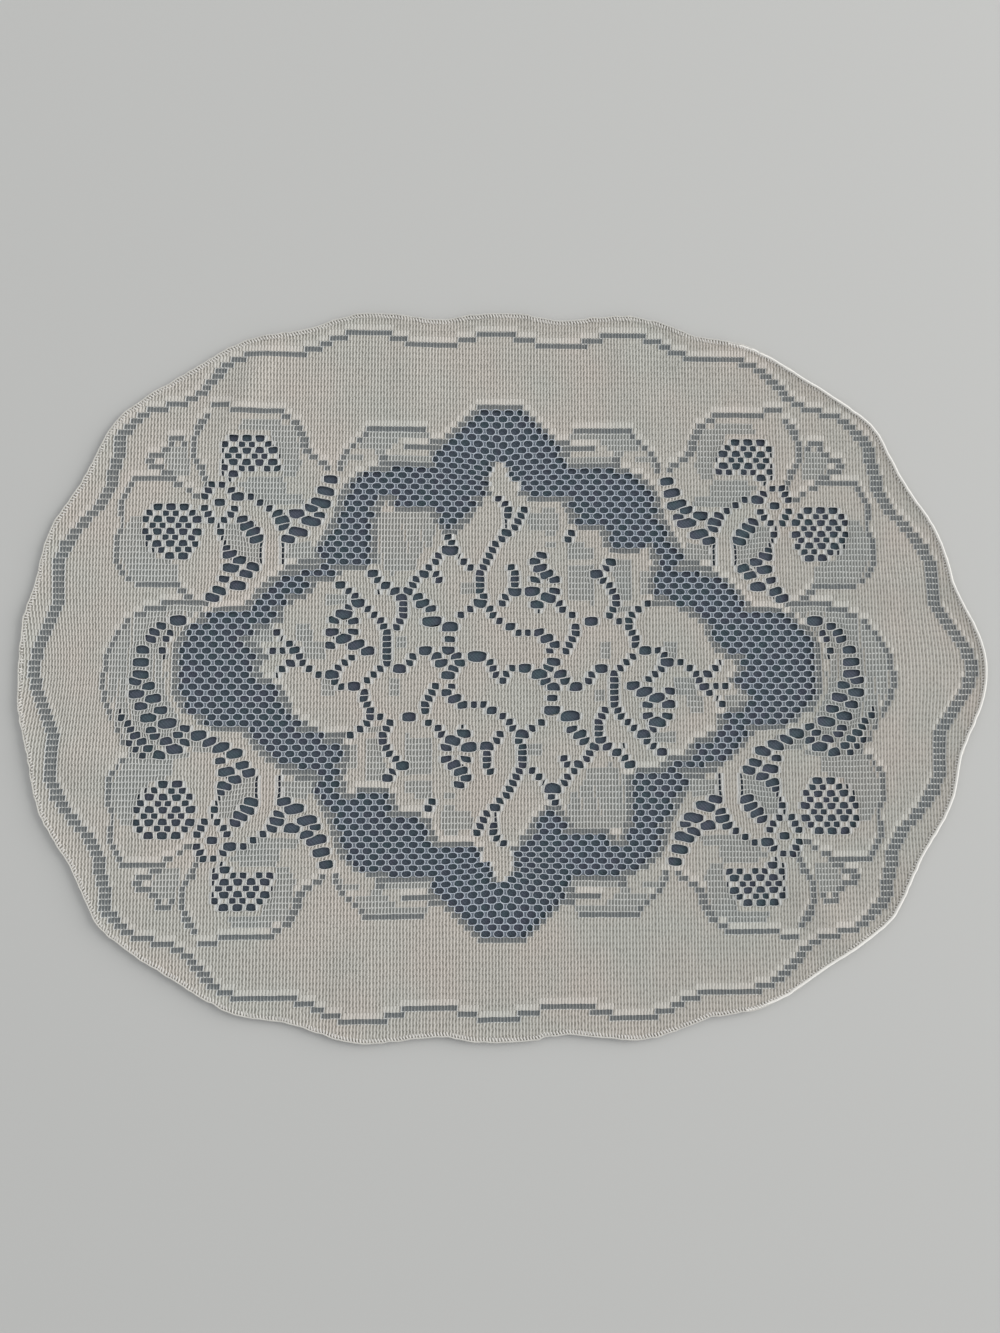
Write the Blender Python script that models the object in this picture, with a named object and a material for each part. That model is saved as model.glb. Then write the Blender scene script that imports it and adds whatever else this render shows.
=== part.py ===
"""Lace doily: a scalloped oval of warp-knit lace over a plain dark backing, lying flat.

The lace is one sheet. It lies on the backing, and its rim falls past the backing's edge
to the surface below. Everything is first laid out flat, in millimetres from the pattern's
centre, and the function `lay` then gives each flat point its place on the lying cloth.
The edge, the net's frame and the bows repeat in all four quadrants, the side scrolls on
the left and the right, and the bouquet repeats after half a turn.
"""
import math
from collections import namedtuple

import bpy
from mathutils import Vector
from mathutils.geometry import delaunay_2d_cdt

MM = 0.001

# The knitted ground: 18 needles to the inch across, and the height of one pattern row.
NEEDLES_PER_INCH = 18
WALE = 25.4 / NEEDLES_PER_INCH
ROW = 2.64

# The two sheets.
LACE_THICKNESS = 1.0
BACKING_THICKNESS = 1.0
PIECE_GAP = 0.3

# The rim falls over this width, and the backing stops this far inside the lace's edge.
RIM_WIDTH = 5.0
BACKING_INSET = 5.5
RIM_RINGS = (0.0, 2.5, 5.0, 11.0)
EDGE_STEPS = 2

# The pattern's centre lies a little left of the cloth's and above it: the right tip is pulled
# out, and past the bows the rows lie closer, most of all at the near end.
SIDE_LEAN = 5.0
LEAN_FROM = 150.0
LEAN_TO = 212.0
TIP_WIDTH = 26.0
TIP_REST = 0.15
END_LEAN = 1.38
CLOSE_FROM = 73.0
CLOSE_FAR = 0.994
CLOSE_NEAR = 0.963

# The net's openings, at twice the pitch of the knitted net, with its threads to scale, and
# how much of an opening must lie inside the net, or of a wing's reach hold its centre.
NET_PITCH = 8 * WALE
NET_ROW = 2 * ROW
NET_THREAD = 1.5
NET_FIT = 0.72
DISC_FIT = 0.8

# Single openings, and the spacing of the points that carry the cloth's soft waves.
SLOT_HEIGHT = 2.0
WAVE_GRID = 18.0
WAVE_CLEARANCE = 6.0

LACE_COLOR = (0.60, 0.57, 0.51, 1.0)
BACKING_COLOR = (0.045, 0.075, 0.12, 1.0)
CLOTH_ROUGHNESS = 0.9

Point = namedtuple("Point", "x y")
Slot = namedtuple("Slot", "x row width")
Disc = namedtuple("Disc", "x y radius_x radius_y")
Buckle = namedtuple("Buckle", "x y length width turn_deg height")

# The scalloped edge in one quadrant, from the side's middle round to the end's middle.
EDGE = (
    Point(213.2, 0.0),
    Point(211.0, 18.0),
    Point(204.0, 37.0),
    Point(200.8, 52.0),
    Point(196.0, 65.0),
    Point(184.0, 84.3),
    Point(177.5, 98.0),
    Point(170.0, 111.5),
    Point(155.0, 123.4),
    Point(137.0, 135.0),
    Point(124.0, 143.5),
    Point(110.0, 149.8),
    Point(90.0, 153.2),
    Point(76.0, 158.2),
    Point(61.0, 162.0),
    Point(45.0, 161.3),
    Point(28.0, 159.5),
    Point(13.0, 161.8),
    Point(0.0, 162.6),
)

# The frame of the net in one quadrant.
NET_FRAME = (
    Point(141.0, 0.0),
    Point(138.5, 14.0),
    Point(133.0, 26.0),
    Point(115.0, 28.0),
    Point(105.0, 33.0),
    Point(85.0, 52.0),
    Point(74.0, 62.0),
    Point(68.0, 78.0),
    Point(50.0, 91.0),
    Point(30.0, 94.0),
    Point(16.0, 113.0),
    Point(0.0, 117.0),
)

# The bouquet's outline from its left tip over the top to its right tip.
BOUQUET = (
    Point(-112.0, 15.0),
    Point(-95.0, 35.0),
    Point(-73.0, 43.0),
    Point(-59.0, 52.0),
    Point(-56.0, 74.0),
    Point(-33.0, 71.0),
    Point(-22.0, 60.0),
    Point(-10.0, 76.0),
    Point(0.0, 95.0),
    Point(12.0, 76.0),
    Point(28.0, 76.0),
    Point(34.0, 62.0),
    Point(50.0, 56.0),
    Point(70.0, 56.0),
    Point(70.0, 30.0),
    Point(84.0, 27.0),
    Point(98.0, 14.0),
    Point(112.0, 6.0),
)

# Meshes inside each bow's two wings.
BOW_DISCS = (
    Disc(143.5, 60.0, 13.5, 12.5),
    Disc(110.0, 96.0, 13.5, 9.5),
)

# The ladder of openings along each bow's ribbons.
BOW_SLOTS = (
    Slot(75.5, 32, 6.0),
    Slot(77.5, 30, 7.5),
    Slot(79.5, 28, 8.5),
    Slot(91.5, 26, 8.5),
    Slot(83.5, 25, 8.0),
    Slot(90.0, 23, 9.0),
    Slot(122.0, 19, 6.0),
    Slot(118.5, 17, 8.0),
    Slot(108.0, 17, 7.0),
    Slot(115.5, 14, 8.0),
    Slot(125.5, 12, 6.5),
)

# The ladder down each side's scroll.
SCROLL_SLOTS = (
    Slot(144.5, 8, 6.5),
    Slot(150.0, 6, 5.0),
    Slot(154.5, 3, 5.0),
    Slot(155.5, 1, 6.0),
    Slot(156.0, -1, 7.0),
    Slot(154.5, -3, 6.5),
    Slot(149.0, -5, 8.0),
    Slot(144.5, -8, 8.0),
    Slot(136.5, -10, 6.5),
)

# The widest openings between the bouquet's petals, which repeat after half a turn.
BOUQUET_SLOTS = (
    Slot(-30.5, 8, 8.0),
    Slot(-22.5, 7, 6.0),
    Slot(-68.6, 9, 6.0),
    Slot(-69.5, 5, 6.0),
    Slot(-63.5, 4, 6.0),
    Slot(-20.5, 2, 5.5),
    Slot(13.6, 12, 6.5),
    Slot(21.5, 11, 6.5),
    Slot(17.0, 17, 5.5),
)

# Where the lace stands a little off its backing, in soft ridges near the rim.
BUCKLES = (
    Buckle(-112.0, 128.0, 22.0, 7.0, 62.0, 1.6),
    Buckle(58.0, 138.0, 20.0, 9.0, 100.0, 0.7),
    Buckle(-40.0, 132.0, 24.0, 10.0, 85.0, 0.7),
    Buckle(184.0, 38.0, 22.0, 9.0, 10.0, 0.9),
    Buckle(-180.0, -40.0, 26.0, 9.0, 170.0, 0.8),
    Buckle(140.0, -108.0, 22.0, 8.0, 128.0, 0.9),
    Buckle(-60.0, -136.0, 20.0, 10.0, 80.0, 0.6),
)


def smooth_step(value):
    """Return 0 to 1 for value 0 to 1, level at both ends."""
    value = min(max(value, 0.0), 1.0)
    return value * value * (3.0 - 2.0 * value)


def four_quadrants(points):
    """Return the closed loop that mirrors one quadrant's points in both directions."""
    upper = list(points) + [Point(-p.x, p.y) for p in reversed(points[:-1])]
    return upper + [Point(p.x, -p.y) for p in reversed(upper[1:-1])]


def half_turned(points):
    """Return the closed loop of the points and their half turn."""
    return list(points) + [Point(-p.x, -p.y) for p in points]


def smooth_loop(knots, steps):
    """Return a closed curve through the knots, with `steps` points for each span."""
    count = len(knots)
    curve = []
    for index in range(count):
        before, start, end, after = (Vector(knots[(index + k) % count]) for k in (-1, 0, 1, 2))
        for step in range(steps):
            t = step / steps
            curve.append(0.5 * (2.0 * start + (end - before) * t
                                + (2.0 * before - 5.0 * start + 4.0 * end - after) * t ** 2
                                + (3.0 * start - before - 3.0 * end + after) * t ** 3))
    return curve


def inset_loop(loop, distance):
    """Return the counter-clockwise loop moved inwards along its own normals."""
    count = len(loop)
    moved = []
    for index, point in enumerate(loop):
        along = (loop[(index + 1) % count] - loop[index - 1]).normalized()
        moved.append(point + Vector((-along.y, along.x)) * distance)
    return moved


def contains(loop, point):
    """Return whether a closed loop holds the point."""
    inside = False
    for first, second in zip(loop, loop[1:] + loop[:1]):
        if (first[1] > point[1]) != (second[1] > point[1]):
            crossing = first[0] + (point[1] - first[1]) * (second[0] - first[0]) / (second[1] - first[1])
            inside ^= crossing > point[0]
    return inside


def slot_loop(x, y, width):
    """Return one rectangular opening, counter-clockwise."""
    half_width, half_height = width / 2, SLOT_HEIGHT / 2
    return [Vector((x + sx * half_width, y + sy * half_height))
            for sx, sy in ((-1, -1), (1, -1), (1, 1), (-1, 1))]


def net_loop(x, y):
    """Return one six-sided opening of the net, counter-clockwise."""
    half_width = (NET_PITCH - NET_THREAD) / 2
    peak = 2 * NET_ROW / 3 - NET_THREAD / 2
    shoulder = peak / 2
    corners = ((0, -peak), (half_width, -shoulder), (half_width, shoulder),
               (0, peak), (-half_width, shoulder), (-half_width, -shoulder))
    return [Vector((x + dx, y + dy)) for dx, dy in corners]


def net_cells(half_width, half_height):
    """Yield the centres of the net's openings out to the given half width and height."""
    rows = int(half_height / NET_ROW)
    columns = int(half_width / NET_PITCH) + 1
    for row in range(-rows, rows + 1):
        for column in range(-columns, columns + 1):
            yield Point((column + (row % 2) / 2) * NET_PITCH, row * NET_ROW)


def medallion_openings():
    """Return the net's openings between its frame and the bouquet."""
    frame = four_quadrants(NET_FRAME)
    bouquet = half_turned(BOUQUET)
    loops = []
    for cell in net_cells(NET_FRAME[0].x, NET_FRAME[-1].y):
        core = [Vector(cell).lerp(corner, NET_FIT) for corner in net_loop(*cell)]
        if all(contains(frame, corner) and not contains(bouquet, corner) for corner in core):
            loops.append(net_loop(*cell))
    return loops


def disc_openings(disc):
    """Return the mesh openings whose centres lie within one wing."""
    loops = []
    for cell in net_cells(disc.radius_x, disc.radius_y):
        spread = math.hypot(cell.x / disc.radius_x, cell.y / disc.radius_y)
        if spread < DISC_FIT:
            loops.append(net_loop(disc.x + cell.x, disc.y + cell.y))
    return loops


def mirrored(loop, sign_x, sign_y):
    """Return the loop mirrored into another quadrant, still counter-clockwise."""
    turned = [Vector((sign_x * p.x, sign_y * p.y)) for p in loop]
    return turned if sign_x * sign_y > 0 else turned[::-1]


def all_openings():
    """Return every opening of the lace as a flat loop."""
    bow = [slot_loop(slot.x, slot.row * ROW, slot.width) for slot in BOW_SLOTS]
    for disc in BOW_DISCS:
        bow += disc_openings(disc)
    scroll = [slot_loop(slot.x, slot.row * ROW, slot.width) for slot in SCROLL_SLOTS]
    petals = [slot_loop(slot.x, slot.row * ROW, slot.width) for slot in BOUQUET_SLOTS]
    openings = medallion_openings()
    openings += [mirrored(loop, sx, sy) for loop in bow for sx in (1, -1) for sy in (1, -1)]
    openings += [mirrored(loop, sx, 1) for loop in scroll for sx in (1, -1)]
    openings += [mirrored(loop, s, s) for loop in petals for s in (1, -1)]
    return openings


def buckle_lift(x, y):
    """Return how far the soft ridges raise the lace at a flat point."""
    lift = 0.0
    for buckle in BUCKLES:
        turn = math.radians(buckle.turn_deg)
        dx, dy = x - buckle.x, y - buckle.y
        along = dx * math.cos(turn) + dy * math.sin(turn)
        across = dy * math.cos(turn) - dx * math.sin(turn)
        lift += buckle.height * math.exp(-(along / buckle.length) ** 2 - (across / buckle.width) ** 2)
    return lift


def lay(point, height):
    """Return the place in metres of a flat point at a height above the surface."""
    tip = TIP_REST + (1.0 - TIP_REST) * math.exp(-(point.y / TIP_WIDTH) ** 2)
    pull = tip * smooth_step((abs(point.x) - LEAN_FROM) / (LEAN_TO - LEAN_FROM)) - 1.0
    beyond = max(abs(point.y) - CLOSE_FROM, 0.0)
    keep = CLOSE_FAR if point.y > 0.0 else CLOSE_NEAR
    y = point.y - math.copysign(beyond * (1.0 - keep), point.y)
    return Vector((point.x + SIDE_LEAN * pull, y - END_LEAN, height)) * MM


def lace_underside(point, distance_in):
    """Return the height of the lace's underside, from its flat place and distance in."""
    rest = BACKING_THICKNESS + PIECE_GAP + buckle_lift(point.x, point.y)
    return rest * smooth_step(distance_in / RIM_WIDTH)


def wave_points(inner_ring, openings):
    """Return evenly spaced points that lie clear of the rim and of every opening."""
    centres = [sum(loop, Vector((0.0, 0.0))) / len(loop) for loop in openings]
    reach_x, reach_y = int(EDGE[0].x / WAVE_GRID), int(EDGE[-1].y / WAVE_GRID)
    points = []
    for row in range(-reach_y, reach_y + 1):
        for column in range(-reach_x, reach_x + 1):
            point = Vector(((column + (row % 2) / 2) * WAVE_GRID, row * WAVE_GRID))
            clear = all((point - centre).length > WAVE_CLEARANCE for centre in centres)
            if clear and contains(inner_ring, point):
                points.append(point)
    return points


def lace_plan(edge, openings):
    """Return the lace's flat points, their distances in, its triangles and its open loops."""
    points, distances, constraints, loops = [], [], [], []

    def add_loop(loop, distance):
        start = len(points)
        points.extend(loop)
        distances.extend([distance] * len(loop))
        indices = list(range(start, len(points)))
        constraints.extend(zip(indices, indices[1:] + indices[:1]))
        return indices

    rings = [inset_loop(edge, distance) for distance in RIM_RINGS]
    ring_indices = [add_loop(ring, distance) for ring, distance in zip(rings, RIM_RINGS)]
    for loop in openings:
        loops.append(add_loop(loop, RIM_WIDTH))
    extra = wave_points(inset_loop(edge, RIM_RINGS[-1] + WAVE_CLEARANCE), openings)
    points.extend(extra)
    distances.extend([RIM_WIDTH] * len(extra))

    _, _, faces, origins, _, _ = delaunay_2d_cdt(points, constraints, [], 0, 1e-6)
    opening_of = {index: number for number, loop in enumerate(loops) for index in loop}
    triangles = []
    for face in faces:
        triangle = [origins[corner][0] for corner in face]
        owners = {opening_of.get(corner, -1) for corner in triangle}
        spans_opening = len(owners) == 1 and -1 not in owners
        centre = sum((points[corner] for corner in triangle), Vector((0.0, 0.0))) / 3
        if not spans_opening and contains(edge, centre):
            triangles.append(triangle)
    return points, distances, triangles, ring_indices[0], loops


def slab_mesh(name, lower, upper, triangles, outer, inner_loops):
    """Return the closed mesh between two matching layers of points.

    `outer` runs counter-clockwise round the outside, and so does each inner loop.
    """
    count = len(lower)
    faces = [tuple(corner + count for corner in triangle) for triangle in triangles]
    faces += [tuple(reversed(triangle)) for triangle in triangles]
    for first, second in zip(outer, outer[1:] + outer[:1]):
        faces.append((first, second, second + count, first + count))
    for loop in inner_loops:
        for first, second in zip(loop, loop[1:] + loop[:1]):
            faces.append((second, first, first + count, second + count))
    mesh = bpy.data.meshes.new(name)
    mesh.from_pydata(lower + upper, [], faces)
    mesh.validate()
    mesh.update()
    return mesh


def make_lace():
    """Return the lace's mesh: one sheet with its openings and its fallen rim."""
    edge = smooth_loop(four_quadrants(EDGE), EDGE_STEPS)
    points, distances, triangles, outer, loops = lace_plan(edge, all_openings())
    heights = [lace_underside(point, distance) for point, distance in zip(points, distances)]
    lower = [lay(point, height) for point, height in zip(points, heights)]
    upper = [lay(point, height + LACE_THICKNESS) for point, height in zip(points, heights)]
    return slab_mesh("lace", lower, upper, triangles, outer, loops)


def make_backing():
    """Return the backing's mesh: one flat sheet cut a little inside the lace's edge."""
    edge = inset_loop(smooth_loop(four_quadrants(EDGE), EDGE_STEPS), BACKING_INSET)
    indices = list(range(len(edge)))
    sides = list(zip(indices, indices[1:] + indices[:1]))
    _, _, faces, origins, _, _ = delaunay_2d_cdt(edge, sides, [], 1, 1e-6)
    triangles = [[origins[corner][0] for corner in face] for face in faces]
    lower = [lay(point, 0.0) for point in edge]
    upper = [lay(point, BACKING_THICKNESS) for point in edge]
    return slab_mesh("backing", lower, upper, triangles, indices, [])


def cloth_material(name, color):
    """Return a matt cloth material of one colour."""
    material = bpy.data.materials.new(name)
    material.use_nodes = True
    shader = material.node_tree.nodes["Principled BSDF"]
    shader.inputs["Base Color"].default_value = color
    shader.inputs["Roughness"].default_value = CLOTH_ROUGHNESS
    shader.inputs["Metallic"].default_value = 0.0
    return material


def add_piece(name, mesh, color):
    """Link a mesh to the scene as the named piece."""
    mesh.materials.append(cloth_material(name, color))
    bpy.context.collection.objects.link(bpy.data.objects.new(name, mesh))


def main():
    """Clear the scene and build both sheets."""
    for item in list(bpy.data.objects):
        bpy.data.objects.remove(item, do_unlink=True)
    add_piece("backing", make_backing(), BACKING_COLOR)
    add_piece("lace", make_lace(), LACE_COLOR)


main()
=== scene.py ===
"""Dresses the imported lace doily: warp-knit cotton lace with a bouquet in a net medallion, bows at its
corners and an overlocked edge, lying on its plain slate-blue backing cloth."""

import logging
import math
import random
from dataclasses import dataclass, field
from enum import Enum, IntEnum
from functools import partial
from typing import Any, Callable, Iterable, Iterator, Optional, Sequence

import bpy
import numpy as np
from mathutils import Matrix, Vector
from mathutils.geometry import delaunay_2d_cdt, tessellate_polygon


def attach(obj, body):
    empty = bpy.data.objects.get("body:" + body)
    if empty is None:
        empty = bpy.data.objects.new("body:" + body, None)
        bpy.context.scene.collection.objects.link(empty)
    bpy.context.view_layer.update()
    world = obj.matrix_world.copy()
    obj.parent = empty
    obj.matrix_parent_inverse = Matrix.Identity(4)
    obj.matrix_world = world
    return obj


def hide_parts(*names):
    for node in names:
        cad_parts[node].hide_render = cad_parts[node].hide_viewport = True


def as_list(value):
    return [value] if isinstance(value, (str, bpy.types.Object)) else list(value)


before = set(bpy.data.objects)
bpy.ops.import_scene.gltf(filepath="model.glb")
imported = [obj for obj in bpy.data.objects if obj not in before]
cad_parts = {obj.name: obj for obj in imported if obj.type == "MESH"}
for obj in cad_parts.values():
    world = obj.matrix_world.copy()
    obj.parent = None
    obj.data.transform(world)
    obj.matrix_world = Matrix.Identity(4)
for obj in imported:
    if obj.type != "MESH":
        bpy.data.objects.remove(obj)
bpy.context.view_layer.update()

LOG = logging.getLogger("doily")
MM = 0.001
BODY = "root"
NEEDLES_PER_INCH = 18
WALE = 25.4 / NEEDLES_PER_INCH
ROW = 2.64
MATH = "ShaderNodeMath"
MIX_A, MIX_B, MIX_OUT = 6, 7, 2  # the colour sockets of a Mix node
RANDOM_LOW, RANDOM_HIGH, RANDOM_OUT = 2, 3, 1  # the number sockets of a Random Value node
Point = tuple[float, float]
Point3 = tuple[float, float, float]

EDGE: tuple[Point, ...] = (
    (213.2, 0), (211, 18), (204, 37), (200.8, 52), (196, 65), (184, 84.3), (177.5, 98), (170, 111.5),
    (155, 123.4), (137, 135), (124, 143.5), (110, 149.8), (90, 153.2), (76, 158.2), (61, 162), (45, 161.3),
    (28, 159.5), (13, 161.8), (0, 162.6),
)


def four_quadrants(knots: Sequence[Point]) -> list[Point]:
    """Mirrors a quarter of a loop, from the right tip round to the top middle, into the whole.

    Args:
        knots: Points of the first quarter, in millimetres.

    Returns:
        The closed loop's points, anticlockwise.
    """
    upper = list(knots) + [(-x, y) for x, y in reversed(knots[:-1])]
    return upper + [(x, -y) for x, y in reversed(upper[1:-1])]


def smooth_path(points: Sequence[Point], closed: bool = False, step: float = 0.5) -> list[Point]:
    """Runs a Catmull-Rom curve through points.

    Args:
        points: The knots, in millimetres.
        closed: Whether the last knot joins the first.
        step: Spacing of the result, in millimetres.

    Returns:
        The curve's points.
    """
    count = len(points)
    path = []
    for k in range(count if closed else count - 1):
        if closed:
            a, b, c, d = (points[(k + m) % count] for m in (-1, 0, 1, 2))
        else:
            a, b, c, d = (points[min(max(k + m, 0), count - 1)] for m in (-1, 0, 1, 2))
        parts = max(2, int(math.dist(b, c) / step))
        for s in range(parts):
            t = s / parts
            path.append(tuple(
                0.5 * (2 * b[n] + (c[n] - a[n]) * t + (2 * a[n] - 5 * b[n] + 4 * c[n] - d[n]) * t**2
                       + (3 * b[n] - a[n] - 3 * c[n] + d[n]) * t**3)
                for n in (0, 1)
            ))
    if not closed:
        path.append(tuple(points[-1]))
    return path


def straight_path(points: Sequence[Point], step: float = 0.5) -> list[Point]:
    """Walks straight from point to point in small steps.

    Args:
        points: The knots, in millimetres.
        step: Spacing of the result, in millimetres.

    Returns:
        The path's points.
    """
    path = []
    for a, b in zip(points, points[1:]):
        parts = max(1, int(math.dist(a, b) / step))
        path += [(a[0] + (b[0] - a[0]) * s / parts, a[1] + (b[1] - a[1]) * s / parts)
                 for s in range(parts)]
    return path + [tuple(points[-1])]


def inset_loop(outline: Sequence[Point], depth: float, reach: int = 3) -> list[Point]:
    """Moves an anticlockwise loop inward.

    Args:
        outline: The loop, in millimetres.
        depth: How far it moves, in millimetres.
        reach: How many points away the two lie that give its direction at a point.

    Returns:
        The moved loop.
    """
    loop = []
    for k, (x, y) in enumerate(outline):
        (x0, y0), (x1, y1) = outline[k - reach], outline[(k + reach) % len(outline)]
        size = math.hypot(x1 - x0, y1 - y0)
        loop.append((x - (y1 - y0) / size * depth, y + (x1 - x0) / size * depth))
    return loop


def ring(count: int, first: int = 0) -> list[tuple[int, int]]:
    """Gives the edges that close a run of points into a loop.

    Args:
        count: How many points there are.
        first: The first one's number.

    Returns:
        The edges, each as the numbers of its ends.
    """
    return [(first + n, first + (n + 1) % count) for n in range(count)]


def within(loop: Sequence[Point], x: float, y: float) -> bool:
    """Tells whether a point lies inside a closed loop.

    Args:
        loop: The loop's points.
        x: The point's x.
        y: Its y.

    Returns:
        Whether it does.
    """
    hit = False
    for (x0, y0), (x1, y1) in zip(loop, [*loop[1:], loop[0]]):
        if (y0 > y) != (y1 > y) and x0 + (y - y0) * (x1 - x0) / (y1 - y0) > x:
            hit = not hit
    return hit


def smooth_step(value: Any) -> Any:
    """Rises from 0 to 1 with level ends, for a number or an array."""
    t = np.clip(value, 0, 1)
    return t * t * (3 - 2 * t)


class Stitch(Enum):
    """What fills one gap between two pillars, over one row."""

    NONE = 0
    DENSE = 1
    GAUZE = 2
    BAR = 3
    NET = 4
    HOLE = 5


class Copies(Enum):
    """How a motif repeats: the signs of x and y of each copy."""

    ONE = ((1, 1),)
    SIDES = ((1, 1), (-1, 1))
    TURN = ((1, 1), (-1, -1))
    RIGHT = ((1, 1), (1, -1))
    LEFT = ((-1, 1), (-1, -1))
    QUADRANTS = ((1, 1), (-1, 1), (1, -1), (-1, -1))


@dataclass
class Chart:
    """The stitch chart: cell (i, j) is the gap at x = i wales and y = j rows from the middle.

    Its sizes are counted in gaps and rows.
    """

    columns: int = 152
    rows: int = 61
    stair_trim: float = 0.3
    trail_pitch: int = 3
    mesh_rows: int = 10
    mesh_reach: int = 12
    cells: dict[tuple[int, int], Stitch] = field(default_factory=dict)

    def get(self, i: int, j: int) -> Stitch:
        """Gives the stitch of a cell, NONE off the cloth."""
        return self.cells.get((i, j), Stitch.NONE)

    def put(self, i: int, j: int, kind: Stitch, copies: Copies = Copies.ONE,
            only: Optional[Stitch] = None) -> None:
        """Sets the stitch of a cell and its copies, where they are on the cloth.

        Args:
            i: The cell's gap.
            j: Its row.
            kind: The stitch.
            copies: How the cell repeats.
            only: The one stitch that it may replace, or any.
        """
        for sx, sy in copies.value:
            cell = (sx * i, sy * j)
            if cell in self.cells and only in (None, self.cells[cell]):
                self.cells[cell] = kind

    def start(self, outline: Sequence[Point]) -> None:
        """Fills the cloth's outline with dense stitch.

        Args:
            outline: The edge, in millimetres.
        """
        for j in range(-self.rows, self.rows + 1):
            for i in range(-self.columns, self.columns + 1):
                if within(outline, i * WALE, j * ROW):
                    self.cells[i, j] = Stitch.DENSE

    def fill(self, kind: Stitch, loop: Sequence[Point], copies: Copies,
             only: Optional[Stitch] = None) -> None:
        """Fills a loop with one stitch.

        Args:
            kind: The stitch.
            loop: The loop, in millimetres.
            copies: How it repeats.
            only: The one stitch that it may replace, or any.
        """
        (left, low), (right, high) = ([edge(p[n] for p in loop) for n in (0, 1)] for edge in (min, max))
        for j in range(math.ceil(low / ROW), math.floor(high / ROW) + 1):
            for i in range(math.ceil(left / WALE), math.floor(right / WALE) + 1):
                if within(loop, i * WALE, j * ROW):
                    self.put(i, j, kind, copies, only)

    @staticmethod
    def spans(points: Sequence[Point]) -> list[tuple[int, float, float]]:
        """Cuts a curve into its stretch in each row.

        Args:
            points: The curve's knots, in millimetres.

        Returns:
            The row, the least and the greatest x of each stretch.
        """
        path = smooth_path(points) if len(points) > 2 else straight_path(points)
        rows: list[tuple[int, float, float]] = []
        for x, y in path:
            j = round(y / ROW)
            if rows and rows[-1][0] == j:
                rows[-1] = (j, min(rows[-1][1], x), max(rows[-1][2], x))
            else:
                rows.append((j, x, x))
        return rows

    def band(self, kind: Stitch, points: Sequence[Point], width: float, copies: Copies) -> None:
        """Lays a stepped line along a curve.

        Args:
            kind: The stitch.
            points: The curve's knots, in millimetres.
            width: The least width of the line in each row, in millimetres.
            copies: How it repeats.
        """
        for j, x0, x1 in self.spans(points):
            spare = max(0.0, width - (x1 - x0)) / 2
            first = round((x0 - spare) / WALE + 0.5)
            last = max(first, round((x1 + spare) / WALE - 0.5))
            for i in range(first, last + 1):
                self.put(i, j, kind, copies)

    def stairs(self, kind: Stitch, runs: Iterable[tuple[float, float, int]], copies: Copies) -> None:
        """Lays a stepped line, run by run.

        Args:
            kind: The stitch.
            runs: The x where each run starts and the x where it ends, in millimetres, and its row.
            copies: How it repeats.
        """
        for x0, x1, j in runs:
            for i in range(round(x0 / WALE + self.stair_trim), round(x1 / WALE - self.stair_trim) + 1):
                self.put(i, j, kind, copies)

    def ladder(self, slots: Iterable[tuple[float, int, int]], copies: Copies) -> None:
        """Opens level slots.

        Args:
            slots: Each one's middle x in millimetres, its row and its width in gaps.
            copies: How they repeat.
        """
        for x, j, width in slots:
            first = round(x / WALE - (width - 1) / 2)
            for i in range(first, first + width):
                self.put(i, j, Stitch.HOLE, copies)

    def trail(self, points: Sequence[Point], copies: Copies, width: int = 2) -> None:
        """Strings small openings along a curve, one or more in each row.

        Args:
            points: The curve's knots, in millimetres.
            copies: How it repeats.
            width: Gaps in an opening.
        """
        for j, x0, x1 in self.spans(points):
            count = max(1, round((x1 - x0) / (self.trail_pitch * WALE) + 0.3))
            self.ladder([(x0 + (x1 - x0) * (k + 0.5) / count, j, width) for k in range(count)], copies)

    def mesh(self, centre: int, top: int, loop: Sequence[Point]) -> None:
        """Works a fancy mesh: rows of wide openings between rows of paired ones and solid spots.

        Args:
            centre: The middle gap.
            top: The highest row.
            loop: The outline of the mesh, in millimetres.
        """
        for k in range(self.mesh_rows):
            shift = 4 if k % 4 == 1 else 0
            for i in range(centre - self.mesh_reach, centre + self.mesh_reach + 1):
                opening = (i - centre) % 4 != 2 if k % 2 == 0 else (i - centre - shift) % 8 in (2, 3, 5, 6)
                if opening and within(loop, i * WALE, (top - k) * ROW):
                    self.put(i, top - k, Stitch.HOLE, Copies.QUADRANTS)

    def runs(self, kind: Stitch) -> Iterator[tuple[int, int, int]]:
        """Gives the level runs of a stitch.

        Args:
            kind: The stitch.

        Yields:
            The first gap, the last gap and the row of each run.
        """
        for i, j in sorted(self.cells, key=lambda cell: (cell[1], cell[0])):
            if self.get(i, j) is kind and self.get(i - 1, j) is not kind:
                last = i
                while self.get(last + 1, j) is kind:
                    last += 1
                yield i, last, j


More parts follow.
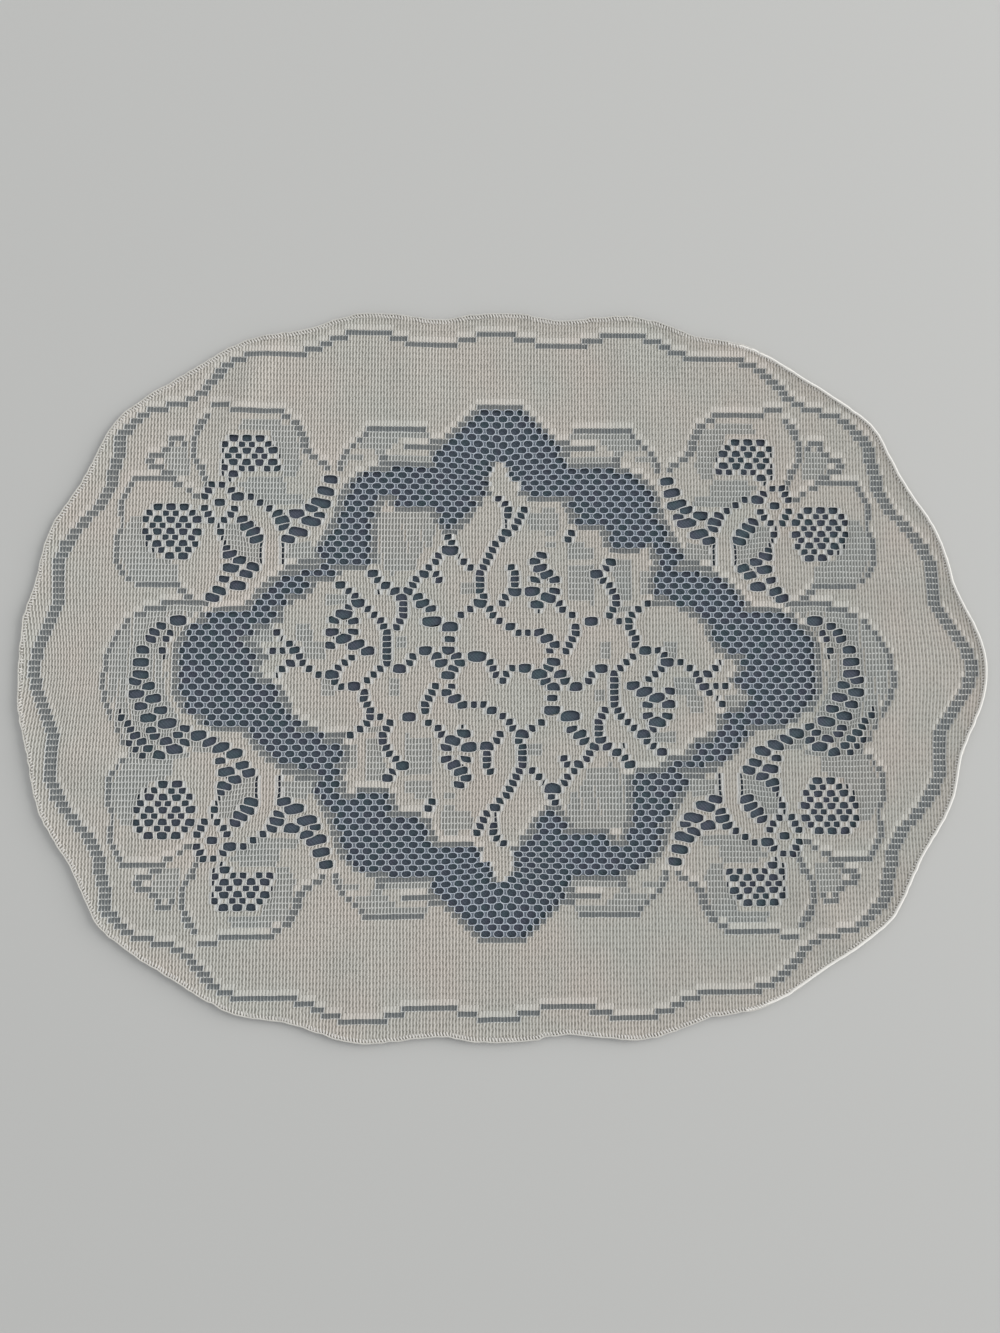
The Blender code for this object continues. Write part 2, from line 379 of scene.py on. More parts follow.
@dataclass
class DoilyPattern:
    """Draws the doily's motifs on the chart: traditional bows, scrolls and a bouquet in net.

    The stepped border sits a little further out on the left of the middle than on the right, so
    its runs are shifted. Lengths are in millimetres; the level edge and what stands beside the net
    are counted in gaps.
    """

    chart: Chart = field(default_factory=Chart)
    outline: list[Point] = field(default_factory=list)
    outline_step: float = 2.5
    border_top_steps: int = 12
    border_right: float = -0.7
    border_left_top: float = 2.4
    border_left_side: float = 0.8
    level_edge: int = 5
    leaf_tip: tuple[Point, ...] = (
        (-5.5, 80), (-5.2, 86), (-4.9, 90.5), (-2.8, 94), (-1.4, 97.5), (1.3, 97.5), (2.8, 93),
        (3.6, 89), (6, 86.5), (9.2, 84), (9.5, 80))
    beside_net: int = 2
    vein: float = 1.4

    def draw(self) -> Chart:
        """Draws every motif, the ground first.

        Returns:
            The chart.
        """
        self.outline = smooth_path(four_quadrants(EDGE), True, self.outline_step)
        self.chart.start(self.outline)
        self.border_line()
        self.medallion()
        self.shoulder()
        self.bow()
        self.side_wing()
        self.ribbon()
        self.scroll()
        self.bouquet_ground()
        self.net_steps()
        self.petal_shades()
        self.left_flowers()
        self.stems()
        self.right_flower()
        self.heart()
        return self.chart

    def border_line(self) -> None:
        """The openwork line that follows the scalloped edge."""
        chart, four = self.chart, Copies.QUADRANTS
        steps = [
            (-1, 8.3, 58), (8, 17, 57), (17, 40, 56), (39, 47, 57), (46.5, 67, 58), (66, 74, 57),
            (73, 79, 56), (78, 86, 55), (85, 112, 54), (111, 118, 53), (117, 122, 52), (120, 125, 51),
            (123, 128, 50), (126, 130.5, 49), (128, 132, 48), (130, 134.5, 47), (134, 139.5, 46),
            (139, 148, 45), (147, 156, 44), (155.5, 160.5, 43), (158, 163, 42), (161.5, 166.5, 41),
            (163, 168.5, 40), (165, 170, 39)]
        shoulder = self.border_top_steps
        for runs, shift, copies in ((steps, self.border_right, Copies.RIGHT),
                                    (steps[:shoulder], self.border_left_top, Copies.LEFT),
                                    (steps[shoulder:], self.border_left_side, Copies.LEFT)):
            chart.stairs(Stitch.BAR, [(x0 + shift, x1 + shift, j) for x0, x1, j in runs], copies)
        chart.band(Stitch.BAR, [
            (206.4, 0), (205.9, 5.3), (204.4, 10.6), (201, 15.8), (197.8, 21.1), (195.5, 26.4), (193.7, 33),
            (193.6, 46), (191.8, 52.8), (189, 58.1), (184.8, 63.4), (179.8, 68.6), (175.5, 73.9),
            (172.3, 79.2), (171, 87), (169.5, 93), (168.6, 100)], 5.7, four)

    def medallion(self) -> None:
        """The net round the bouquet."""
        self.chart.fill(Stitch.NET, [
            (0, 119.5), (10, 119.5), (10.3, 116.2), (13.1, 113.5), (16, 110.9), (18.8, 108.2),
            (21.6, 105.6), (24.4, 103), (27.2, 100.3), (29.5, 97.7), (29.5, 95.6), (51, 95.2), (51.5, 91),
            (57, 90.6), (61.5, 87.8), (64.5, 84), (68, 81), (69.5, 77), (71, 72), (72.5, 65), (77, 58),
            (81, 52), (90, 47.5), (98, 42), (104, 35), (110, 28), (126, 26.5), (131, 21), (137, 18),
            (140, 10), (140.5, 0), (-1, 0), (-1, 119.5)], Copies.QUADRANTS)

    def shoulder(self) -> None:
        """The sheer fold between the net and the bow."""
        chart, four = self.chart, Copies.QUADRANTS
        chart.stairs(Stitch.BAR, [(33.9, 56.4, 41), (29.6, 42.4, 38)], four)
        chart.band(Stitch.BAR, [
            (58.5, 107), (61.5, 104.3), (65, 101.6), (67.5, 99), (69, 96.3), (70.4, 93.8),
            (71.6, 91)], 2.8, four)
        chart.band(Stitch.BAR, [(35, 106.5), (31, 104), (28, 103)], 4.2, four)
        for loop in (
            [(33, 107), (46, 107), (44, 103.5), (31, 103.5)],
            [(46, 107), (57, 107), (62, 103), (64, 99), (50, 99.5), (45, 102)],
            [(50, 98), (68, 97), (70, 92), (62, 95)],
            [(31, 97.5), (50, 97.5), (50, 95), (31, 95)],
        ):
            chart.fill(Stitch.GAUZE, loop, four)

    def bow(self) -> None:
        """The upright wing of each bow, with its fancy mesh, and the ring at the knot."""
        chart, four = self.chart, Copies.QUADRANTS
        chart.stairs(Stitch.BAR, [(97, 121, 44), (120.5, 129.5, 45)], four)
        chart.band(Stitch.BAR, [
            (129.5, 114.8), (132, 112.2), (133.2, 109.6), (134.5, 107.2), (136.2, 103), (136.2, 95),
            (134.7, 92.4), (132.7, 89.8), (131.7, 87.1), (130, 84.5), (129, 81.8)], 3.2, four)
        chart.band(Stitch.BAR, [
            (97.5, 113.6), (94, 113), (92.5, 110.9), (90.2, 108.2), (88.8, 105.6), (87.2, 103),
            (87.2, 100.3), (85.7, 97.7), (83.2, 95), (79.5, 92.5), (76.5, 90.5)], 4.0, four)
        for loop in (
            [
                (99.5, 112), (113, 112), (117, 109.5), (117, 107), (101, 107), (103, 104), (101, 99),
                (97.5, 96.5), (97, 86), (91, 86), (88, 92), (89.5, 97), (91, 107), (95, 109.5)],
            [
                (97, 85.8), (108, 85.8), (117, 83), (113, 78), (107, 75.5), (104, 72.6), (87, 72.6),
                (88.5, 77.5), (95, 78), (96, 83)],
        ):
            chart.fill(Stitch.GAUZE, loop, four)
        wing = [
            (105, 104.5), (121, 104.5), (124, 99), (123, 86), (116, 86), (116, 88.8), (97.5, 88.8),
            (97.5, 96.5), (101.5, 99.5), (105, 102)]
        chart.mesh(centre=80, top=39, loop=wing)
        chart.ladder([
            (120, 32, 1), (123.1, 31, 2), (127.1, 31, 2), (119.9, 30, 2), (129.1, 30, 2), (118.1, 29, 2),
            (130.5, 29, 2), (118.1, 27, 2), (130.5, 27, 2), (119.6, 26, 2), (129.1, 26, 2), (122.7, 25, 2),
            (127, 25, 2), (124.8, 28, 3)], four)

    def side_wing(self) -> None:
        """The sideways wing round the mesh disc, and the sheer triangle above it."""
        chart, four = self.chart, Copies.QUADRANTS
        chart.stairs(Stitch.BAR, [
            (144.2, 162.7, 32), (161.3, 164.5, 31), (163, 165.8, 30), (141, 159.5, 14), (138, 141, 13),
            (134.5, 138.5, 12)], four)
        chart.band(Stitch.BAR, [
            (164.6, 78.5), (166.5, 75.6), (166.5, 63.4), (167, 60.7), (168.7, 58), (168.7, 47.5),
            (167, 44.9), (165.5, 42.2), (163, 40.2), (160, 38.3)], 2.8, four)
        chart.fill(Stitch.GAUZE, [
            (157, 68), (163, 66), (166.5, 60), (167, 52), (165.5, 46), (161, 39.5), (142.5, 39.5),
            (141, 46.5), (149, 48.5), (154.5, 53), (157, 60)], four)
        chart.mesh(centre=103, top=27, loop=[
            (137, 72), (153.5, 72), (157.3, 67), (157.3, 57), (153, 52), (148.2, 51.5), (148.2, 49),
            (137.5, 49), (133.3, 54), (133.3, 58.5), (131.8, 59.5), (131.8, 66)])
        chart.fill(Stitch.GAUZE, [
            (138.5, 86), (144.5, 86), (148, 89), (148.5, 95.5), (146.3, 98.3), (139, 98.3),
            (137.7, 90)], four)
        chart.stairs(Stitch.BAR, [
            (141.2, 146.6, 39), (139, 142, 38), (144.8, 147.6, 38), (146.2, 149.9, 37), (149.7, 155, 36),
            (153.5, 156.8, 35), (149.2, 155, 34), (145.6, 150.4, 33), (140, 144.2, 31), (136.4, 139.2, 30),
            (132.9, 135.7, 29)], four)

    def ribbon(self) -> None:
        """The ladders along the bow's ribbons and the small leaf in its loop."""
        chart, four = self.chart, Copies.QUADRANTS
        chart.fill(Stitch.GAUZE, [
            (116, 64.7), (122, 64.7), (122, 57), (121, 54.5), (119, 51.5), (116, 49), (111, 46.2),
            (107, 46.2), (105, 53), (107, 56.5), (112, 59.5), (114, 62)], four)
        chart.fill(Stitch.GAUZE, [(86, 56.8), (94, 56.8), (95, 49), (83, 49), (83, 54)], four)
        chart.stairs(Stitch.BAR, [(80, 90, 18), (90, 95, 17)], four)
        for x in (95.8, 105.7):
            chart.ladder([(x, j, 1) for j in range(18, 22)], four)
        chart.ladder([
            (75.7, 32, 4), (78.1, 30, 5), (79.6, 28, 6), (84.6, 27, 4), (80.6, 26, 3), (90.7, 26, 5),
            (98.8, 26, 3), (84, 25, 6), (96.6, 25, 4), (95.5, 24, 3), (89.7, 23, 6), (93.7, 22, 4),
            (110.1, 29, 2), (115.3, 29, 2), (106.6, 28, 2), (102.2, 27, 2), (114.5, 25, 3), (112.5, 24, 4),
            (109.6, 23, 4), (107.9, 22, 4), (124.5, 24, 1), (123.9, 23, 2), (123, 22, 1), (121.8, 21, 1),
            (120.9, 20, 2), (119.4, 19, 4), (115, 18, 4), (109.2, 17, 4), (118.5, 17, 5), (111.8, 16, 4),
            (121.3, 15, 3), (115.6, 14, 5), (122.8, 13, 4), (126.2, 12, 4)], four)

    def scroll(self) -> None:
        """The standing scroll at each side, between the two bows: sheer, veined, with its own ladder."""
        chart, sides = self.chart, Copies.SIDES
        chart.fill(Stitch.GAUZE, [
            (128, 28), (148, 28), (156, 25), (163, 20), (169, 12), (172, 3), (172, -9), (168, -19),
            (162, -29), (158, -38), (143, -38.5), (128, -35.5), (118, -35.5), (118, -33), (128, -30),
            (134, -27), (141, -20), (145, -8), (145.5, 0), (145, 10), (140, 20)], sides)
        chart.stairs(Stitch.BAR, [(128.5, 148, 11), (147, 155.5, 10), (155.5, 160, 9)], sides)
        chart.band(Stitch.BAR, [
            (161.7, 21.9), (164, 19.5), (166, 17.2), (168, 14.5), (169.2, 12.4), (171, 9.2), (172.7, 4),
            (174, -4), (173.5, -10.6), (172, -13.2), (171.5, -15.8), (170, -19.8), (168.5, -22.4),
            (167, -25.1), (165, -27.7), (162.5, -30.4)], 2.8, sides)
        for vein in (
            [(138, 25), (143.5, 16), (146, 6), (146, -5), (143.5, -15), (137, -24), (127, -30)],
            [(151, 5.3), (151, -8)], [(161, 21), (162, -5), (161, -21)],
            [(166, -5), (168, -21), (166, -42)], [(146, 25), (146, 20)], [(134, -34), (150, -33)],
        ):
            chart.band(Stitch.DENSE, vein, self.vein, sides)
        chart.ladder([
            (141.8, 8, 5), (148.1, 7, 3), (144.3, 6, 2), (151.5, 6, 3), (146.2, 5, 2), (153.1, 5, 3),
            (147.6, 3, 2), (155.6, 3, 4), (147, 2, 1), (156.1, 1, 5), (156.4, -1, 5), (158.7, -2, 4),
            (153.6, -3, 4), (157.9, -4, 5), (151, -5, 5), (156.6, -6, 4), (146.9, -7, 4), (152.6, -8, 5),
            (144, -9, 6), (137.3, -10, 3), (150.6, -10, 3), (131.5, -11, 5), (139.6, -11, 3),
            (149.1, -11, 3), (158, -11, 3), (126.8, -12, 4), (137.2, -12, 3), (145.1, -12, 4),
            (155, -12, 3), (160.5, -12, 2), (121.5, -13, 5), (141.4, -13, 5), (152, -13, 3),
            (157.4, -13, 2), (146.8, -14, 4), (154.5, -14, 2), (165, -7, 1), (164, -8, 2), (162.1, -9, 2),
            (160.6, -10, 2)], sides)

    def bouquet_ground(self) -> None:
        """The solid cloth of the bouquet; its lower half is the upper half turned round."""
        upper = [
            (-112, 13.5), (-104, 17.5), (-99, 19), (-98, 26), (-94, 29), (-86, 31), (-84, 38), (-73, 39),
            (-72, 43), (-69, 44.5), (-58, 44.5), (-56.5, 50), (-57, 66), (-55, 73), (-52, 76), (-48, 75),
            (-47, 70.5), (-31, 70.5), (-29, 68), (-25, 63), (-23, 60), (-20, 62), (-16, 66), (-14, 70),
            (-11, 73), (-10, 77.5), (-5, 80), (-4.5, 90), (-1, 97.6), (1, 97.6), (4, 90), (4, 82), (10, 80),
            (13, 75), (30, 75), (33, 70), (34, 63), (46, 62.5), (49, 57), (49.5, 51.5), (60, 51.5),
            (63, 53), (67, 56), (70, 54), (71, 47), (69, 40), (69, 31), (78, 28.5), (80, 25.5), (90, 23),
            (94, 18), (95, 12), (98, 8), (98.5, 5.5), (106, 3.5), (108, 0), (104, -5)]
        self.chart.fill(Stitch.DENSE, upper + [(-x, -y) for x, y in upper], Copies.ONE)

    @staticmethod
    def net_opening(i: int, j: int) -> bool:
        """Tells whether a net opening is centred on a gap: every fourth one, by turns in the rows."""
        return i % 4 == (3 if j % 2 == 0 else 1)

    def net_steps(self) -> None:
        """Ends the net with openwork above, below and beside it."""
        chart = self.chart
        ends: list[tuple[int, int]] = []
        for first, last, j in chart.runs(Stitch.NET):
            for side in (-1, 1):
                stretch: list[tuple[int, int]] = []
                for i in range(first, last + 2):
                    if i <= last and chart.get(i, j + side) is not Stitch.NET:
                        stretch.append((i, j))
                        continue
                    if len(stretch) >= self.level_edge:
                        ends += stretch
                    stretch = []
        for i, j in ends:
            chart.put(i, j, Stitch.BAR)
        spare = []
        for first, last, j in chart.runs(Stitch.NET):
            spare += [(i, j) for i in range(first, last + 1) if not self.in_net(i, j)]
            beside = [*range(first - self.beside_net, first), *range(last + 1, last + 1 + self.beside_net)]
            spare += [(i, j) for i in beside if chart.get(i, j) is Stitch.DENSE]
        for i, j in spare:
            chart.put(i, j, Stitch.BAR)
        for side in (-1, 1):
            chart.fill(Stitch.DENSE, [(side * x, side * y) for x, y in self.leaf_tip], Copies.ONE)

    def open_net(self, i: int, j: int) -> bool:
        """Tells whether the net opening centred on a gap has room, for most of it at least."""
        around = [self.chart.get(i + k, j) is Stitch.NET for k in (-1, 0, 1)]
        return self.net_opening(i, j) and around[1] and (around[0] or around[2])

    def in_net(self, i: int, j: int) -> bool:
        """Tells whether a gap is part of a net opening, or between two of them."""
        inside = any(self.open_net(i + k, j) for k in (-1, 0, 1))
        return inside or self.open_net(i - 2, j) and self.open_net(i + 2, j)

    def petal_shades(self) -> None:
        """The sheer parts of the petals and leaves."""
        for loop in (
            [
                (-55, 72), (-48, 70), (-31, 69.5), (-28, 62), (-31, 55), (-36, 50), (-38, 44), (-48, 42),
                (-55, 48)],
            [(12, 70), (24, 72), (27, 67), (24, 60), (13, 62)],
            [(31, 47), (41, 45), (41, 29), (31, 31)],
            [(30, 56), (42, 55), (42, 49), (31, 49)],
            [(50, 48), (59, 48), (59, 31), (52, 31)],
            [(63, 45), (69, 43), (69, 32), (63, 34)],
            [(-89, 20), (-83, 18), (-83, 11), (-89, 12)],
            [(-77.5, 33), (-67, 32), (-66, 27), (-77, 28)],
            [(-17.5, 37), (-11, 37), (-11, 33), (-17.5, 33)],
            [(-87, 11), (-77, 11), (-77, 4), (-87, 4)],
            [(-46, 15.5), (-41, 15.5), (-41, 10), (-46, 10)],
            [(20, 57), (24, 57), (24, 54), (20, 54)],
            [(52, 28), (58, 28), (58, 24), (52, 24)],
            [(44, 10.6), (48, 10.6), (48, 5.2), (44, 5.2)],
            [(73, 11), (79, 11), (79, 5.2), (73, 5.2)],
            [(78, -4.5), (86, -4.5), (86, -8.5), (78, -8.5)],
            [(-110, 13.5), (-100, 19), (-100, 12), (-107, 10)],
        ):
            self.chart.fill(Stitch.GAUZE, loop, Copies.TURN, only=Stitch.DENSE)
        for vein in ([(-44, 64), (-40, 52)], [(-36, 62), (-33, 52)], [(-54, 58), (-52, 45)],
                     [(61, 46), (61, 33)]):
            self.chart.band(Stitch.DENSE, vein, self.vein, Copies.TURN)

    def left_flowers(self) -> None:
        """The leaf, the rose and the small cross flower at the left."""
        chart, turn = self.chart, Copies.TURN
        for knots in (
            [(-23, 58.2), (-20.5, 53)],
            [(-27, 50.3), (-31, 45.5), (-36.5, 40.5), (-40.8, 35.3)],
            [(-29.3, 43), (-28, 40.5)],
            [(-43, 29), (-42.8, 25.5), (-44.4, 22), (-47.1, 18)],
            [(-50.8, 17.6), (-52.8, 21), (-58, 25.5), (-63.5, 31), (-67, 34.5)],
            [(-65, 4.5), (-68.9, 2.3), (-73.5, -2.4)],
            [
                (-49.6, 15.3), (-49.6, 5), (-52, 0.3), (-57.8, -4.7), (-62, -7.2), (-66, -7.6),
                (-70.6, -7.2), (-75.8, -2.3), (-79.8, -2.3), (-84.2, 0.3), (-87, 2.6), (-88.8, 6)],
            [(-46.7, 0.1), (-42.7, 0.1), (-38, 4.6)],
        ):
            chart.trail(knots, turn)
        chart.ladder([
            (-18.2, 19, 1), (-15.8, 18, 2), (-13, 17, 2), (-24, 20, 3), (-33.5, 16, 3), (-46, 13, 3),
            (-41, 13, 2), (-43.5, 12, 3), (-37, 12, 3), (-34.8, 11, 4), (-31.3, 10, 3), (-30.4, 8, 6),
            (-23, 7, 5), (-22.8, 5, 3), (-23.3, 3, 4), (-70.2, 14, 3), (-56.7, 16, 3), (-54.2, 15, 2),
            (-50.8, 14, 3), (-53.3, 13, 1), (-64.6, 11, 2), (-67.7, 10, 2), (-68.8, 9, 5), (-73.9, 8, 3),
            (-65.6, 8, 3), (-74.6, 6, 4), (-65.6, 6, 3), (-69.4, 5, 5), (-75.4, 4, 3), (-64.2, 4, 5),
            (-60.4, 3, 2), (-56.7, 3, 2), (-90.3, 3, 3), (-95.4, 3, 2), (-99.6, 3, 2), (-92.7, 4, 2),
            (-95.7, 5, 1), (-98.3, 6, 2), (-91.7, 1, 3), (-95.3, 0, 2), (-97.9, -1, 1), (-33, 3, 4),
            (-28.9, 2, 3), (-26, 1, 4), (-20.2, 2, 3), (-18.6, 1, 3), (-21.7, 0, 3), (-23.3, -1, 4)], turn)

    def stems(self) -> None:
        """The stems beside the middle."""
        chart, turn = self.chart, Copies.TURN
        chart.trail([(3.2, 66.4), (3.2, 63.8)], turn, width=1)
        for knots in (
            [(-0.8, 76.5), (3.5, 71.5), (3.6, 67.5)],
            [(10.8, 71.2), (6.7, 63.6)],
            [(0.8, 58.2), (-3.3, 53.4), (-8.2, 44), (-8.6, 38), (-8.2, 31.5), (-4.6, 25.3), (1.1, 20.3)],
            [(-11.2, 27.8), (-15.5, 25.5), (-18, 23)],
        ):
            chart.trail(knots, turn)
        chart.ladder([
            (3.1, 23, 3), (4.2, 7, 3), (8.4, 6, 2), (12.4, 6, 2), (17.3, 6, 3), (20.8, 5, 4), (24.2, 4, 3),
            (22.3, 3, 2), (22.8, 1, 3)], turn)

    def right_flower(self) -> None:
        """The large flower and the leaf at the right."""
        chart, turn = self.chart, Copies.TURN
        chart.stairs(Stitch.BAR, [(67.5, 76.5, 11)], turn)
        for knots in (
            [(5, 45.8), (6.6, 42), (6.4, 38), (3.8, 33), (-0.6, 28)],
            [(25.8, 28), (29.3, 25.3), (32.5, 22.8)],
            [(33.3, 17.8), (33, 14.5), (30.3, 10.3), (28.1, 7.6)],
            [(36.1, 20.4), (44.2, 20.4)],
            [(47.2, 22.8), (51.3, 27.5), (51.3, 32.8), (48.5, 37.8), (45.3, 40.3)],
            [(62.1, 27), (58.1, 22.6), (56.7, 20.1)],
            [(57.2, 19), (59.4, 15.1), (59.4, 11.5)],
        ):
            chart.trail(knots, turn)
        chart.ladder([
            (18.3, 19, 3), (15.7, 18, 3), (17.8, 17, 4), (20.4, 16, 4), (15.4, 15, 3), (23.8, 15, 3),
            (13.8, 13, 5), (23.8, 13, 3), (8, 13, 2), (21, 12, 5), (16.4, 11, 4), (16.3, 10, 1),
            (43.3, 16, 4), (47.1, 17, 2), (49.2, 18, 3), (31.7, 23, 2), (30.4, 22, 2), (65, 11, 2),
            (53.5, 8, 2)], turn)

    def heart(self) -> None:
        """The line that dips across the middle."""
        self.chart.trail([
            (-15.8, 5.3), (-7.2, 5.3), (-3.4, 0.8), (0.2, -5.2), (3.2, -1.5), (5, 0.1), (12.3, 0.1),
            (15, -2.6)], Copies.ONE)


@dataclass(frozen=True)
class Buckle:
    """A low ridge where the lace doesn't lie flat. Sizes in millimetres, the turn in degrees."""

    x: float
    y: float
    length: float
    width: float
    turn: float
    height: float

    def lift(self, x: np.ndarray, y: np.ndarray) -> np.ndarray:
        """Gives how far the ridge lifts the lace.

        Args:
            x: The points' x, in millimetres.
            y: Their y.

        Returns:
            The lift at each point, in millimetres.
        """
        c, s = math.cos(math.radians(self.turn)), math.sin(math.radians(self.turn))
        along = ((x - self.x) * c + (y - self.y) * s) / self.length
        across = ((y - self.y) * c - (x - self.x) * s) / self.width
        return self.height * np.exp(-along**2 - across**2)


@dataclass
class Drape:
    """How the flat lace lies: its lean, its lift over the backing, its rolled rim and its pulls.

    The right tip is pulled out, and past the bows the rows lie closer, most of all at the near end.
    Rises and spreads are how far an opening pushes its neighbours away, by its width in gaps. Swells
    are the size and share of each slow wave, and strays the size in stitches and the amount of each
    unevenness.

    Lengths are in millimetres. The chart's flat plane goes in, the frame's metres come out.
    """

    outline: list[Point]
    bounds: Point = (222.0, 170.0)
    lift: float = 1.3
    rim: float = 7.0
    rim_share: float = 1.25
    lean: float = 5.0
    lean_from: float = 150.0
    lean_to: float = 212.0
    tip_width: float = 26.0
    tip_rest: float = 0.15
    end_lean: float = 1.38
    close_from: float = 73.0
    close_far: float = 0.994
    close_near: float = 0.963
    wave: float = 0.35
    swells: tuple[tuple[float, float], ...] = ((61.0, 0.6), (27.0, 0.4))
    cell: float = 1.0
    buckles: tuple[Buckle, ...] = (
        Buckle(-112, 128, 22, 7, 62, 1.6), Buckle(58, 138, 20, 9, 100, 0.7),
        Buckle(-40, 132, 24, 10, 85, 0.7), Buckle(184, 38, 22, 9, 10, 0.9),
        Buckle(-180, -40, 26, 9, 170, 0.8), Buckle(140, -108, 22, 8, 128, 0.9),
        Buckle(-60, -136, 20, 10, 80, 0.6),
    )
    rises: tuple[float, ...] = (0.0, 0.08, 0.35, 0.6, 0.95, 1.25, 1.4)
    rise_shares: tuple[float, ...] = (1.0, 0.55, 0.25)
    arch_power: float = 0.6
    spreads: tuple[float, ...] = (0.0, 0.1, 0.5, 0.6, 0.55, 0.55, 0.5)
    spread_shares: tuple[float, ...] = (1.0, 0.5, 0.2)
    strays: tuple[tuple[int, float], ...] = ((1, 0.035), (3, 0.05), (12, 0.1))
    sag: float = 3.4
    sag_at: float = 95.0
    sag_width: float = 19.0
    sag_height: float = 13.0
    seed: int = 5
    pulls: Optional[np.ndarray] = None

    def __post_init__(self) -> None:
        """Maps the distance in from the edge over the whole cloth."""
        gx, gy = np.meshgrid(*(np.arange(-reach, reach + 1, self.cell) for reach in self.bounds))
        best = np.full(gx.shape, 1e9)
        sign = np.zeros(gx.shape, dtype=bool)
        for (x0, y0), (x1, y1) in zip(self.outline, [*self.outline[1:], self.outline[0]]):
            dx, dy = x1 - x0, y1 - y0
            t = np.clip(((gx - x0) * dx + (gy - y0) * dy) / (dx * dx + dy * dy), 0, 1)
            best = np.minimum(best, np.hypot(gx - x0 - t * dx, gy - y0 - t * dy))
            if y0 != y1:
                sign ^= ((y0 > gy) != (y1 > gy)) & (x0 + (gy - y0) * dx / dy > gx)
        self.inset = np.where(sign, best, -best)

    @staticmethod
    def sample(grid: np.ndarray, u: np.ndarray, v: np.ndarray) -> np.ndarray:
        """Reads a grid between its points.

        Args:
            grid: The grid, of numbers or of rows of them.
            u: Where to read it, in columns.
            v: Where to read it, in rows.

        Returns:
            The value at each place.
        """
        u = np.clip(u, 0, grid.shape[1] - 1.001)
        v = np.clip(v, 0, grid.shape[0] - 1.001)
        i, j = u.astype(int), v.astype(int)
        fu, fv = u - i, v - j
        if grid.ndim == 3:
            fu, fv = fu[:, None], fv[:, None]
        return ((grid[j, i] * (1 - fu) + grid[j, i + 1] * fu) * (1 - fv)
                + (grid[j + 1, i] * (1 - fu) + grid[j + 1, i + 1] * fu) * fv)

    def depth(self, x: np.ndarray, y: np.ndarray) -> np.ndarray:
        """Gives the distance in from the edge of the flat lace, less than 0 outside it."""
        return self.sample(self.inset, *((value + reach) / self.cell
                                         for value, reach in zip((x, y), self.bounds)))

    def underside(self, x: np.ndarray, y: np.ndarray) -> np.ndarray:
        """Gives the height of the lace's underside over the table.

        Args:
            x: The points' x on the flat plane.
            y: Their y.

        Returns:
            The height at each point.
        """
        swell = np.zeros_like(x)
        for size, share in self.swells:
            swell += share * np.sin(x / size * 2.1 + 1.3 * np.sin(y / size + size)) * np.sin(
                y / size * 2.4 + 1.1 * np.sin(x / size - size))
        lifted = self.lift + self.wave * (0.5 + 0.5 * swell)
        for buckle in self.buckles:
            lifted = lifted + buckle.lift(x, y)
        inner = smooth_step(self.depth(x, y) / self.rim)
        return lifted * (self.rim_share + (1 - self.rim_share) * inner)

    def place(self, flat: np.ndarray) -> np.ndarray:
        """Lays points on the table.

        Args:
            flat: Rows of x, y and height over the lace's underside, in millimetres.

        Returns:
            The same points in the frame, in metres.
        """
        x, y = flat[:, 0].copy(), flat[:, 1].copy()
        if self.pulls is not None:
            rows, columns = self.pulls.shape[:2]
            moved = self.sample(self.pulls, x / WALE + columns / 2 - 0.5, y / ROW + rows / 2 - 0.5)
            x, y = x + moved[:, 0], y + moved[:, 1]
        z = self.underside(x, y) + flat[:, 2]
        return np.stack([*self.settle(x, y), z], axis=1) * MM

    def settle(self, x: np.ndarray, y: np.ndarray) -> tuple[np.ndarray, np.ndarray]:
        """Moves points of the flat plane to where the cloth came to lie.

        Args:
            x: The points' x.
            y: Their y.

        Returns:
            Their x and y on the table, still in millimetres.
        """
        tip = self.tip_rest + (1 - self.tip_rest) * np.exp(-(y / self.tip_width)**2)
        pull = tip * smooth_step((np.abs(x) - self.lean_from) / (self.lean_to - self.lean_from)) - 1
        beyond = np.maximum(np.abs(y) - self.close_from, 0)
        keep = np.where(y > 0, self.close_far, self.close_near)
        return x + self.lean * pull, y - np.copysign(beyond * (1 - keep), y) - self.end_lean

    def pull_round(self, chart: Chart) -> None:
        """Pulls the pillars aside round the openings, and sets every stitch a little uneven.

        Args:
            chart: The chart with the openings.
        """
        dice = np.random.default_rng(self.seed)
        rows, columns = 2 * chart.rows + 2, 2 * chart.columns + 2
        pulls = np.zeros((rows, columns, 2))
        for first, last, j in chart.runs(Stitch.HOLE):
            count = last - first + 1
            rise = self.rises[min(count, len(self.rises) - 1)]
            spread = self.spreads[min(count, len(self.spreads) - 1)]
            for n in range(count + 1):
                arch = rise * math.sin(math.pi * (n + 0.5) / (count + 1))**self.arch_power
                column = first + n + chart.columns
                for step, share in enumerate(self.rise_shares):
                    for row, way in ((j + chart.rows + 1 + step, 1), (j + chart.rows - step, -1)):
                        if 0 <= row < rows:
                            pulls[row, column, 1] += way * arch * share
            for step, share in enumerate(self.spread_shares):
                left, right = first + chart.columns - step, last + 1 + chart.columns + step
                for column, way in ((left, -1), (right, 1)):
                    if 0 <= column < columns:
                        for row in (j + chart.rows, j + chart.rows + 1):
                            pulls[row, column, 0] += way * spread * share
        y, x = np.meshgrid((np.arange(rows) - chart.rows - 0.5) * ROW,
                           (np.arange(columns) - chart.columns - 0.5) * WALE, indexing="ij")
        pulls[:, :, 1] -= np.sign(y) * self.sag * np.exp(
            -np.abs(x) / self.sag_width - ((np.abs(y) - self.sag_at) / self.sag_height)**2)
        for size, amount in self.strays:
            coarse = dice.normal(0, amount, (rows // size + 3, columns // size + 3, 2))
            v, u = np.meshgrid(np.arange(rows) / size, np.arange(columns) / size, indexing="ij")
